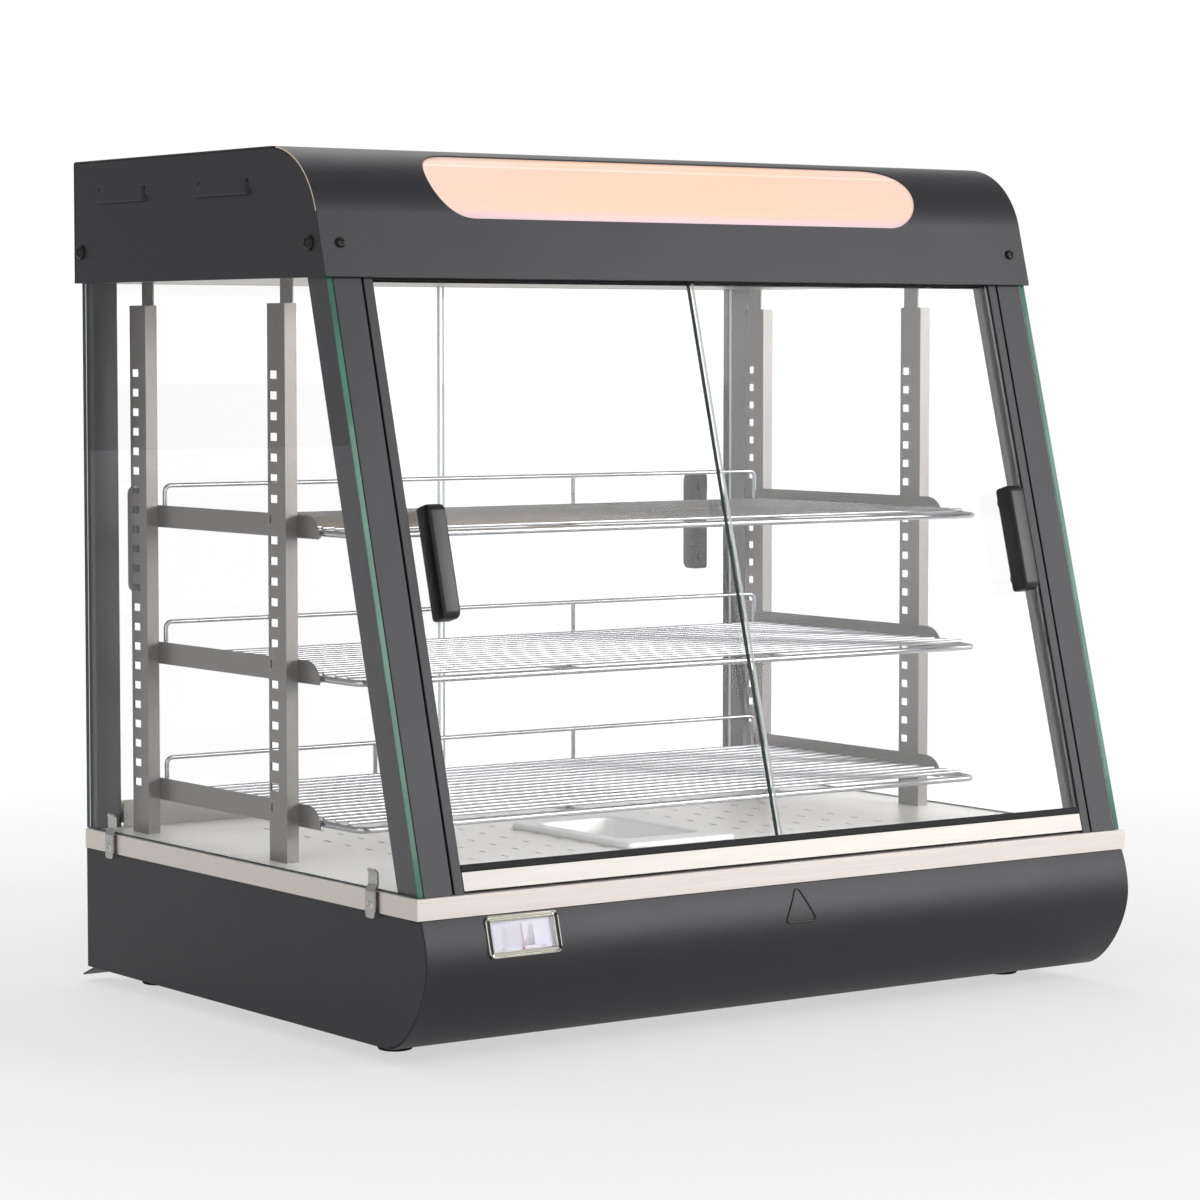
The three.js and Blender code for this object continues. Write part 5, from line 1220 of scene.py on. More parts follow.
@dataclass
class Thermometer:
    """The rectangular dial thermometer, tilted up in the base front."""

    corner: float = 5.2 * MM
    inner: float = 4.8 * MM
    window: float = 5 * MM
    dial_depth: float = 4 * MM
    tick: float = 0.42 * MM
    zone_height: float = 14 * MM
    print_height: float = 0.06 * MM
    needle_ring: float = 1.0 * MM
    number_size: float = 2.3 * MM
    groove: tuple[float, float] = (1.2 * MM, 3.9 * MM)
    lip_side: float = 1.1 * MM
    lip_top: float = 1.4 * MM
    lip_foot: float = 0.3 * MM
    needle_half: float = 0.17 * MM
    zones: tuple[tuple[float, float, int], ...] = ((-16.2, -1.6, 2), (5.7, 9.9, 1))
    numbers: tuple[int, ...] = (20, 60, 100)
    number_step: float = 17 * MM
    number_drop: float = 2.2 * MM
    base_line: tuple[float, float] = (-4.7 * MM, 10.4 * MM)
    base_line_half: float = 0.2 * MM
    base_rise: float = 2.6 * MM
    ticks: int = 8
    bezel_profile: tuple[tuple[float, float], ...] = (
        (8, 0), (2.6, 0), (1.2, 0.1), (0.4, 0.35), (0, 0.9), (0.35, 1.35), (1.1, 1.8), (1.3, 2.6),
        (1.1, 3.4), (0.5, 3.8), (0.3, 4.2), (0.6, 4.6), (1.4, 4.9), (4, 5),
    )

    def face(self, box: Extent, inset: float) -> list[Vector]:
        """The bezel's outline, whose rolled lip stands out a little past the case, drawn in by a distance.

        Args:
            box: The case's box in the tilted frame.
            inset: How far the outline is drawn in.

        Returns:
            The outline as (x, z).
        """
        low_x, high_x = box.low.x - self.lip_side + inset, box.high.x + self.lip_side - inset
        low_z, high_z = box.low.z - self.lip_foot + inset, box.high.z + self.lip_top - inset
        return rounded_box(low_x, high_x, low_z, high_z, self.corner - inset, 8)

    def bezel(self, box: Extent) -> None:
        """A plated bezel: an outer roll, a groove with painted shade at the sides, and an inner rim by the
        dial.

        Args:
            box: The case's box in the tilted frame.
        """
        outline = self.face(box, 0.0)
        front = box.low.y
        levels = [(front + depth * MM, inset * MM) for depth, inset in self.bezel_profile]
        piece = Piece("thermometer_bezel", BEZEL_CHROME, DIAL_CARD, BEZEL_GROOVE_SHADE)
        piece.stack(outline, levels, Axis.Y, DIAL_PLACE, cap_finish=1)
        turn = DIAL_PLACE.inverted()
        half_x = box.size.x / 2 + self.lip_side
        half_z = (box.size.z + self.lip_top + self.lip_foot) / 2
        centre_z = (box.low.z + box.high.z + self.lip_top - self.lip_foot) / 2
        # Faces in the sides of the groove take the dark finish: painted shade.
        for face in piece.build.faces:
            spot = turn @ face.calc_center_median()
            across, along = half_x - abs(spot.x - box.centre.x), half_z - abs(spot.z - centre_z)
            if across < along and self.groove[0] < across < self.groove[1]:
                face.material_index = 2
        piece.make(CASE, "thermometer_case", crease=28)

    def scale(self, box: Extent) -> None:
        """Printed marks of no make: a base line, ticks, two grey zones and three plain numbers.

        Args:
            box: The case's box in the tilted frame.
        """
        plane = box.low.y + self.dial_depth
        piece = Piece("thermometer_scale", DIAL_INK, DIAL_GREY_INK, DIAL_PALE_INK)
        cx, cz = box.centre.x, box.low.z + self.window + self.base_rise

        def mark(x0: float, x1: float, z0: float, z1: float, finish: int, lift: float = 1.0) -> None:
            """Prints one box.

            Args:
                x0: Its left side.
                x1: Its right side.
                z0: Its foot.
                z1: Its top.
                finish: The number of the ink.
                lift: The share of the print's height that it stands.
            """
            shape = rounded_box(x0, x1, z0, z1, min(x1 - x0, z1 - z0) * 0.1, 1)
            levels = [(plane + 0.02 * MM, 0.0), (plane - self.print_height * lift, 0.0)]
            piece.stack(shape, levels, Axis.Y, DIAL_PLACE, finish=finish)

        for start, end, finish in self.zones:
            mark(cx + start * MM, cx + end * MM, cz, cz + self.zone_height, finish, 0.5)
        start, end = self.base_line
        mark(cx + start, cx + end, cz - self.base_line_half, cz + self.base_line_half, 0)
        for i in range(self.ticks):
            x = cx + (0.9 + i * 1.25) * MM
            height = (6.8 if i % 4 == 3 else 4.2) * MM
            mark(x - self.tick / 2, x + self.tick / 2, cz, cz + height, 0)
        piece.make(CASE)
        for i, number in enumerate(self.numbers):
            self.number(str(number), cx + (i - 1) * self.number_step, plane, cz - self.number_drop)

    def number(self, text: str, x: float, plane: float, z: float) -> None:
        """One printed number, as a thin mesh.

        Args:
            text: The number.
            x: Its middle.
            plane: The card's depth.
            z: Its foot.
        """
        curve = bpy.data.curves.new("dial_number_" + text, "FONT")
        curve.body = text
        curve.size = self.number_size
        curve.align_x = "CENTER"
        curve.extrude = self.print_height / 2
        shaped = bpy.data.objects.new("dial_number_shape", curve)
        mesh = bpy.data.meshes.new_from_object(shaped)
        bpy.data.objects.remove(shaped)
        place = DIAL_PLACE @ Matrix.Translation((x, plane - self.print_height / 2, z))
        mesh.transform(place @ Matrix.Rotation(math.pi / 2, 4, "X"))
        mesh.materials.clear()
        mesh.materials.append(DIAL_INK.material())
        made = bpy.data.objects.new("dial_number_" + text, mesh)
        bpy.context.scene.collection.objects.link(made)
        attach(made, CASE)

    def needle(self) -> None:
        """A slim tapered pointer on a small hub."""
        box = Extent.of("thermometer_pointer", DIAL_PLACE.inverted())
        pivot = Vector((box.centre.x, box.low.z + box.size.x / 2))
        tip = box.high.z
        outline = [
            Vector((pivot.x - self.needle_half, pivot.y)), Vector((pivot.x + self.needle_half, pivot.y)),
            Vector((pivot.x + self.needle_half / 2, tip)), Vector((pivot.x - self.needle_half / 2, tip)),
        ]
        piece = Piece("pointer_needle", NEEDLE_ENAMEL)
        piece.pillow(outline, box.low.y + 0.1 * MM, box.high.y - 0.2 * MM, Axis.Y, 0.06 * MM, 2, DIAL_PLACE)
        centre = Vector((pivot.x, box.low.y, pivot.y))
        profile = [(self.needle_ring, 0.7 * MM), (self.needle_ring, 0.25 * MM), (self.needle_ring * 0.8, 0.0)]
        piece.lathe(profile, Axis.Y, centre, 24, place=DIAL_PLACE)
        piece.make("pointer", "thermometer_pointer")

    def lens(self, case: Extent) -> None:
        """A clear moulded window with a faint crown.

        Args:
            case: The case's box in the tilted frame.
        """
        box = Extent.of("thermometer_lens", DIAL_PLACE.inverted())
        outline = self.face(case, self.inner)
        front = box.low.y
        crown = [(front + 0.2 * MM, 0.0), (front + 0.06 * MM, 0.1 * MM), (front, 0.3 * MM)]
        levels = [(box.high.y, 0.0)] + crown
        piece = Piece("thermometer_window", GLASS)
        piece.stack(outline, levels, Axis.Y, DIAL_PLACE).make(CASE, "thermometer_lens")

    def build(self) -> None:
        """Makes the thermometer."""
        box = Extent.of("thermometer_case", DIAL_PLACE.inverted())
        self.bezel(box)
        self.scale(box)
        self.needle()
        self.lens(box)


@dataclass
class Controls:
    """Thermostat knob, lamp switch and cord gland on the rear panel."""

    flutes: int = 24
    flute_depth: float = 0.045
    ridge_half: float = 3.2 * MM
    scale_marks: int = 10
    scale_sweep: float = math.radians(270)
    mark_length: float = 4 * MM
    mark_width: float = 0.9 * MM
    mark_gap: float = 3 * MM
    gland_dome: float = 10 * MM
    gland_bore: float = 4 * MM
    mark_ring: float = 1.7 * MM
    mark_line: float = 0.28 * MM
    mark_place: float = 4.2 * MM
    rib_count: int = 4

    def knob(self) -> None:
        """A fluted knob with a finger ridge, a skirt and a white mark."""
        box = Extent.of("thermostat_knob")
        panel = Extent.of("base_rear_panel").high.y
        radius = box.size.x / 2
        front, back = box.high.y, panel + PANEL_GAP
        centre = Vector((box.centre.x, back, box.centre.z))
        half = (front - back) / 2

        def fluted(r: float, turn: float) -> float:
            """The radius at an angle, with flutes everywhere but on the skirt."""
            on_grip = 1 if r < radius * 0.97 else 0
            return r * (1 - self.flute_depth * (0.5 + 0.5 * math.cos(turn * self.flutes)) * on_grip)

        profile = [
            (radius * 0.9, 0), (radius, 0.4 * MM), (radius, 2 * MM), (radius * 0.965, 2.6 * MM),
            (radius * 0.93, 2.8 * MM), (radius * 0.88, half - 1.2 * MM), (radius * 0.84, half - 0.3 * MM),
            (radius * 0.78, half),
        ]
        piece = Piece("thermostat_grip", CONTROL_ABS, MARK_INK)
        piece.lathe(profile, Axis.Y, centre, 96, fluted)
        grip = rounded_box(
            centre.x - self.ridge_half, centre.x + self.ridge_half,
            centre.z - radius * 0.8, centre.z + radius * 0.8, self.ridge_half * 0.95, 6,
        )
        piece.pillow(grip, back + half - 0.5 * MM, front, Axis.Y, 1.4 * MM, 4)
        foot, tip = centre.z + radius * 0.2, centre.z + radius * 0.7
        line = rounded_box(centre.x - 0.5 * MM, centre.x + 0.5 * MM, foot, tip, 0.4 * MM, 3)
        piece.stack(line, [(front - 0.3 * MM, 0.0), (front, 0.0), (front, 0.1 * MM)], Axis.Y, finish=1)
        shaft = [Vector((centre.x, box.low.y, centre.z)), Vector((centre.x, back + 1 * MM, centre.z))]
        piece.tube(shaft, 3 * MM, 20)
        piece.make("knob", "thermostat_knob")
        self.scale(centre, radius, panel)

    def scale(self, centre: Vector, radius: float, panel: float) -> None:
        """Printed marks that grow round the knob, from where its line points at rest to where it ends.

        Args:
            centre: The knob's axis.
            radius: The knob's radius.
            panel: The depth of the panel's face.
        """
        piece = Piece("thermostat_scale", MARK_INK)
        for i in range(self.scale_marks + 1):
            turn = -math.pi / 2 - self.scale_sweep * i / self.scale_marks
            width = self.mark_width * (0.6 + 0.9 * i / self.scale_marks)
            near = radius + self.mark_gap
            outline = rounded_box(near, near + self.mark_length, -width / 2, width / 2, width * 0.4, 3)
            place = Matrix.Translation((centre.x, 0, centre.z)) @ Matrix.Rotation(turn, 4, "Y")
            piece.stack(outline, [(panel - 0.05 * MM, 0.0), (panel + 0.08 * MM, 0.0)], Axis.Y, place)
        piece.make(CASE)

    def switch(self) -> None:
        """A moulded frame and a dished rocker with plain marks for on and off."""
        box = Extent.of("switch_frame")
        panel = Extent.of("base_rear_panel").high.y
        rocker = Extent.of("lamp_rocker")
        x, z = box.centre.x, box.centre.z
        half_x, half_z = rocker.size.x / 2 + 0.35 * MM, box.size.z / 2 - 4.5 * MM
        outer = rounded_box(box.low.x, box.high.x, box.low.z, box.high.z, 2 * MM, 5)
        well = rounded_box(x - half_x, x + half_x, z - half_z, z + half_z, 0.5 * MM, 5)
        front = box.high.y
        levels = [
            (outer, panel + PANEL_GAP, 0.0), (outer, front - 0.6 * MM, 0.0),
            (outer, front - 0.15 * MM, 0.25 * MM), (outer, front, 0.8 * MM), (well, front, -0.5 * MM),
            (well, front - 0.5 * MM, 0.0), (well, panel - 9 * MM, 0.0),
        ]
        turn = Axis.Y.matrix
        rings = [[turn @ Vector((p.x, p.y, y)) for p in shifted(shape, inset)] for shape, y, inset in levels]
        Piece("switch_bezel", CONTROL_ABS).loft(rings).make(CASE, "switch_frame")
        self.rocker(rocker, panel)

    def rocker(self, box: Extent, panel: float) -> None:
        """The rocker in its tilted rest position.

        Args:
            box: The rocker's box.
            panel: The depth of the panel's face.
        """
        points = [v.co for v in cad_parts["lamp_rocker"].data.vertices]
        ends = sorted({(round(p.z, 6), round(p.y, 6)) for p in points}, key=lambda c: -c[1])[:3]
        low, middle, high = sorted(ends)
        back = panel - 4 * MM
        curve = bezier([(low[1], low[0]), (middle[1] - 1.2 * MM, middle[0]), (high[1], high[0])], 14)
        outline = [Vector((p.x, p.y)) for p in curve]
        outline += [Vector((back, high[0] - 2 * MM)), Vector((back, low[0] + 2 * MM))]
        piece = Piece("rocker_cap", CONTROL_ABS, MARK_INK)
        piece.pillow(outline, box.low.x, box.high.x, Axis.X, 0.5 * MM, 3)
        x = box.centre.x

        def on_face(across: float, z: float) -> Vector:
            """The point of the dished face at a height.

            Args:
                across: Its x.
                z: Its height.

            Returns:
                The point.
            """
            above = next(i for i, p in enumerate(curve) if i > 0 and p.y >= z)
            start, end = curve[above - 1], curve[above]
            return Vector((across, start.x + (end.x - start.x) * (z - start.y) / (end.y - start.y), z))

        ring = [on_face(p.x, p.y) for p in circle(self.mark_ring, 20, (x, low[0] + self.mark_place))]
        piece.tube(ring, self.mark_line, 8, looped=True, finish=1)
        centre_z = high[0] - self.mark_place
        bar = [on_face(x, centre_z + share * self.mark_ring) for share in (-1.0, -0.5, 0.0, 0.5, 1.0)]
        piece.tube(bar, self.mark_line, 8, finish=1)
        piece.make("rocker", "lamp_rocker", crease=50)

    def gland(self) -> None:
        """A moulded cord bushing: nut inside, ribbed dome outside, an open bore."""
        box = Extent.of("cord_gland")
        panel = Extent.of("base_rear_panel")
        centre = Vector((box.centre.x, 0, box.centre.z))
        dome, bore = self.gland_dome, self.gland_bore
        start, end = panel.high.y + PANEL_GAP, box.high.y
        profile = [
            (bore, start - 1 * MM), (dome, start), (dome, start + 2.4 * MM), (dome * 0.93, start + 3 * MM),
        ]
        step = (end - start - 4 * MM) / self.rib_count
        for i in range(self.rib_count):
            y = start + 3 * MM + i * step
            wide = dome * (0.93 - 0.05 * i)
            profile += [(wide * 0.93, y + step * 0.3), (wide * 0.93, y + step * 0.6)]
            profile += [(wide * 0.98, y + step * 0.8), (wide * 0.98, y + step)]
        profile += [
            (dome * 0.66, end), (bore + 0.5 * MM, end), (bore, end - 0.5 * MM), (bore, start - 1 * MM),
        ]
        Piece("gland_dome", CONTROL_ABS).lathe(profile, Axis.Y, centre, 40).make(CASE)
        inside = panel.low.y - PANEL_GAP
        nut = [(bore, box.low.y), (1.0, box.low.y), (1.0, inside), (bore, inside), (bore, box.low.y)]
        radius = box.size.z / 2 * 1.02

        def hexagon(r: float, turn: float) -> float:
            """The nut's outline. Its bore stays round.

            Args:
                r: The profile's radius, where 1.0 stands for the nut's outside.
                turn: The angle.

            Returns:
                The radius at that angle.
            """
            sixth = math.pi / 3
            flat = math.cos(sixth / 2) / math.cos((turn % sixth) - sixth / 2)
            return radius * flat if r == 1.0 else r

        Piece("gland_nut", CONTROL_ABS).lathe(nut, Axis.Y, centre, 60, hexagon).make(CASE, "cord_gland")

    def build(self) -> None:
        """Makes the controls."""
        self.knob()
        self.switch()
        self.gland()


@dataclass
class Glazing:
    """Side panes and the four clips that hold them."""

    arris: float = 0.5 * MM
    clip_sheet: float = 1.2 * MM
    clip_round: float = 1.6 * MM
    clip_corner: float = 3 * MM
    screw_rise: float = 5 * MM
    screw: PanHeadScrew = PanHeadScrew(3.9 * MM, 2.0 * MM)

    def pane(
        self, name: str, body: str, node: str, outline: Sequence[Vector], start: float, end: float,
        axis: Axis, place: Optional[Matrix] = None, edges: tuple[Finish, ...] = (DARK_EDGE_SHADE,),
    ) -> None:
        """A pane with ground edges.

        Args:
            name: The object's name.
            body: The body that it rides on.
            node: The node that it stands for.
            outline: The pane's outline.
            start: Where its thickness begins along the axis.
            end: Where it ends.
            axis: The direction of its thickness.
            place: The frame that the axis belongs to.
            edges: The finish of its edges, and another one for the edge that faces the front.
        """
        a = self.arris
        levels = [(start, a), (start + a, 0.0), (end - a, 0.0), (end, a)]
        piece = Piece(name, GLASS, *edges)
        piece.stack(outline, levels, axis, place, finish=1, cap_finish=0)
        if len(edges) > 1:
            piece.build.normal_update()
            middle = sum((v.co.y for v in piece.build.verts), 0.0) / len(piece.build.verts)
            for face in piece.build.faces:
                frontal = abs(face.normal.y) > 0.5 and face.calc_center_median().y < middle
                if face.material_index == 1 and frontal:
                    face.material_index = 2
        piece.make(body, node, crease=25)

    def side_pane(self, side: str) -> None:
        """A side pane that follows the slope at its front.

        Args:
            side: left or right.
        """
        node = f"side_pane_{side}"
        box = Extent.of(node)
        low, high = box.low, box.high
        lean = math.tan(LEAN) * box.size.z
        corners = [(low.y, low.z), (high.y, low.z), (high.y, high.z), (low.y + lean, high.z)]
        outline = fillet(corners, [1 * MM] * 4, 3, closed=True)
        # Most edges of a side pane are dark, which is painted shade. The edge that faces the front keeps the
        # green of the glass.
        edges = (DARK_EDGE_SHADE, GLASS_EDGE)
        self.pane(f"side_glass_{side}", CASE, node, outline, low.x, high.x, Axis.X, edges=edges)

    def clip(self, end: str, side: str) -> None:
        """A bent strip with rounded ends and its screw.

        Args:
            end: front or rear.
            side: left or right.
        """
        node = f"pane_clip_{end}_{side}"
        box = Extent.of(node)
        sign = -1 if side == "left" else 1
        deck = Extent.of("deck")
        rim, pane = abs(deck.low.x), abs(Extent.of("side_pane_left").low.x)
        on_rim, on_pane = rim + PANEL_GAP + self.clip_sheet, pane + PANEL_GAP + self.clip_sheet
        flare = on_pane + 2 * MM
        bottom, top, grip = box.low.z, box.high.z, box.high.z - 3 * MM
        corners = [
            (on_rim, bottom), (on_rim, deck.high.z + 0.4 * MM), (on_pane, deck.high.z + 4 * MM),
            (on_pane, grip), (flare, top),
        ]
        run = Run(fillet(corners, [0] + [self.clip_round] * 3 + [0], 6))
        half, corner = box.size.y / 2, self.clip_corner
        rows, steps = [], 44
        for i in range(steps + 1):
            length = run.length * (0.5 - 0.5 * math.cos(math.pi * i / steps))
            near = min(length, run.length - length)
            trim = corner - math.sqrt(max(corner**2 - max(corner - near, 0) ** 2, 0))
            point = run.at(length)
            spread = [box.centre.y + share * (half - trim) for share in (-1, -0.5, 0, 0.5, 1)]
            rows.append([Vector((sign * point.x, y, point.y)) for y in spread])
        if sign > 0:
            rows = [row[::-1] for row in rows]
        piece = Piece(f"clip_{end}_{side}", CLIP_STEEL)
        piece.loft(rows, caps=False, open_rings=True)
        piece.make(CASE, node, sheet=self.clip_sheet, edge=0.25 * MM, sided=True)
        head = Matrix.Translation((sign * (on_rim - 0.2 * MM), box.centre.y, deck.low.z + self.screw_rise))
        bolt = Piece(f"clip_screw_{end}_{side}", SCREW_STEEL)
        turn = Matrix.Rotation(sign * math.pi / 2, 4, "Y") @ Matrix.Rotation(math.radians(20), 4, "Z")
        self.screw.add(bolt, head @ turn)
        bolt.make(CASE, crease=35)

    def build(self) -> None:
        """Makes panes and clips."""
        for side in ("left", "right"):
            self.side_pane(side)
            for end in ("front", "rear"):
                self.clip(end, side)


@dataclass
class Doors:
    """The front and rear sliding doors with their handles, tracks and sills."""

    glazing: Glazing
    corner: float = 1.5 * MM
    outer_round: float = 6 * MM
    inner_round: float = 3 * MM
    edge_round: float = 2.4 * MM
    boss_length: float = 2.5 * MM
    boss_radius: float = 4.5 * MM
    boss_inset: float = 11 * MM

    def pane(self, end: str, side: str) -> None:
        """One sliding pane.

        Args:
            end: front or rear.
            side: left or right.
        """
        node = f"{end}_door_{side}"
        place = SLOPE if end == "front" else Matrix.Identity(4)
        box = Extent.of(node, place.inverted())
        outline = rounded_box(box.low.x, box.high.x, box.low.z, box.high.z, self.corner, 4)
        # The front right door's edges are dark, which is painted shade. The other doors' edges are pale,
        # which is a painted highlight.
        edges = (DARK_EDGE_SHADE,) if (end, side) == ("front", "right") else (PALE_EDGE_GLINT,)
        self.glazing.pane(
            f"{end}_glass_{side}", f"{end}_{side}_door", node, outline, box.low.y, box.high.y, Axis.Y,
            place, edges,
        )

    def handle(self, end: str, side: str) -> None:
        """A moulded bar grip on two bosses, rounded to the hand.

        Args:
            end: front or rear.
            side: left or right.
        """
        node = f"{end}_handle_{side}"
        place = SLOPE if end == "front" else Matrix.Identity(4)
        box = Extent.of(node, place.inverted())
        outward = -1 if end == "front" else 1
        glass, tip = (box.high.y, box.low.y) if end == "front" else (box.low.y, box.high.y)
        back = glass + outward * self.boss_length
        corners = [(back, box.low.z), (tip, box.low.z), (tip, box.high.z), (back, box.high.z)]
        radii = [self.inner_round, self.outer_round, self.outer_round, self.inner_round]
        outline = fillet(corners, radii, 8, closed=True)
        if outward < 0:
            outline = outline[::-1]
        piece = Piece(f"{end}_grip_{side}", HANDLE_ABS)
        piece.pillow(outline, box.low.x, box.high.x, Axis.X, self.edge_round, 5, place)
        for z in (box.low.z + self.boss_inset, box.high.z - self.boss_inset):
            boss = Matrix.Translation((box.centre.x, glass, z))
            rings = []
            for depth, radius in ((0, 1.08), (0.25, 1.0), (1.2, 1.0)):
                level = outward * depth * self.boss_length
                ring = circle(radius * self.boss_radius, 28)
                rings.append([place @ boss @ Vector((p.x, level, p.y)) for p in ring])
            piece.loft(rings)
        piece.make(f"{end}_{side}_door", node, crease=40)

    def build(self) -> None:
        """Makes the doors, and dresses tracks and sills."""
        for end in ("front", "rear"):
            for side in ("left", "right"):
                self.pane(end, side)
                self.handle(end, side)
        dress(TRACK_PVC, "front_lower_track", "front_upper_track", edge=0.3 * MM)
        dress(SILL_STEEL, "front_sill", "rear_lower_track", edge=0.35 * MM)
        dress(COAT, "front_post_left", "front_post_right", "rear_post_left", "rear_post_right", edge=0.5 * MM)


@dataclass
class WireShelf:
    """One welded wire shelf: frame loop, close wires, cross wires and a raised rear rail."""

    level: str
    frame_radius: float = 2.5 * MM
    deck_radius: float = 1.5 * MM
    cross_radius: float = 2 * MM
    rail_radius: float = 1.8 * MM
    pitch: float = 17 * MM
    corner: float = 8 * MM
    rail_inset: float = 2 * MM
    rail_bend: float = 5 * MM
    sink: float = 0.4 * MM
    cross_share: float = 1 / 3

    def build(self) -> None:
        """Makes the shelf as one welded piece."""
        node = f"shelf_{self.level}"
        box = Extent.of(node)
        r = self.frame_radius
        z = box.low.z + r
        half, y0, y1 = box.high.x - r, box.low.y + r, box.high.y - r
        piece = Piece(f"wire_shelf_{self.level}", WIRE)
        loop = rounded_box(-half, half, y0, y1, self.corner, 8)
        piece.tube([Vector((p.x, p.y, z)) for p in loop], r, 14, looped=True)
        count = round((y1 - y0) / self.pitch)
        wire_z = z + r + self.deck_radius - self.sink
        for i in range(1, count):
            y = y0 + i * (y1 - y0) / count
            self.bar(piece, Vector((-half, y, wire_z)), Vector((half, y, wire_z)), self.deck_radius)
        cross_z = z + r - self.cross_radius
        top = box.high.z - self.rail_radius
        for x in (-self.cross_share * half, self.cross_share * half):
            self.bar(piece, Vector((x, y0, cross_z)), Vector((x, y1, cross_z)), self.cross_radius)
            self.bar(piece, Vector((x, y1, z)), Vector((x, y1, top)), self.rail_radius)
        side = half - self.rail_inset
        bends = [0, self.rail_bend, self.rail_bend, 0]
        rail = fillet([(-side, z), (-side, top), (side, top), (side, z)], bends, 8)
        piece.tube([Vector((p.x, y1, p.y)) for p in rail], self.rail_radius, 12)
        piece.make(f"{self.level}_shelf", node)

    @staticmethod
    def bar(piece: Piece, start: Vector, end: Vector, radius: float) -> None:
        """A straight wire with sheared and slightly rounded ends.

        Args:
            piece: The piece to add it to.
            start: Its first end.
            end: Its other end.
            radius: Its radius.
        """
        along = (end - start).normalized()
        lip = along * radius * 0.3
        normal = along.orthogonal().normalized()
        across = along.cross(normal)
        rings = []
        for point, share in ((start, 0.7), (start + lip, 1.0), (end - lip, 1.0), (end, 0.7)):
            rings.append([point + (normal * p.x + across * p.y) * share for p in circle(radius, 12)])
        piece.loft(rings)


@dataclass
class ShelfSupports:
    """Slotted uprights and hook-in brackets."""

    def build(self) -> None:
        """Dresses uprights and brackets, and makes the shelves on them."""
        for side in ("left", "right"):
            dress(UPRIGHT_STEEL, f"upright_front_{side}", f"upright_rear_{side}", edge=0.45 * MM)
            for level in ("top", "middle", "bottom"):
                dress(UPRIGHT_STEEL, f"bracket_{level}_{side}", edge=0.35 * MM)
        for level in ("top", "middle", "bottom"):
            WireShelf(level).build()


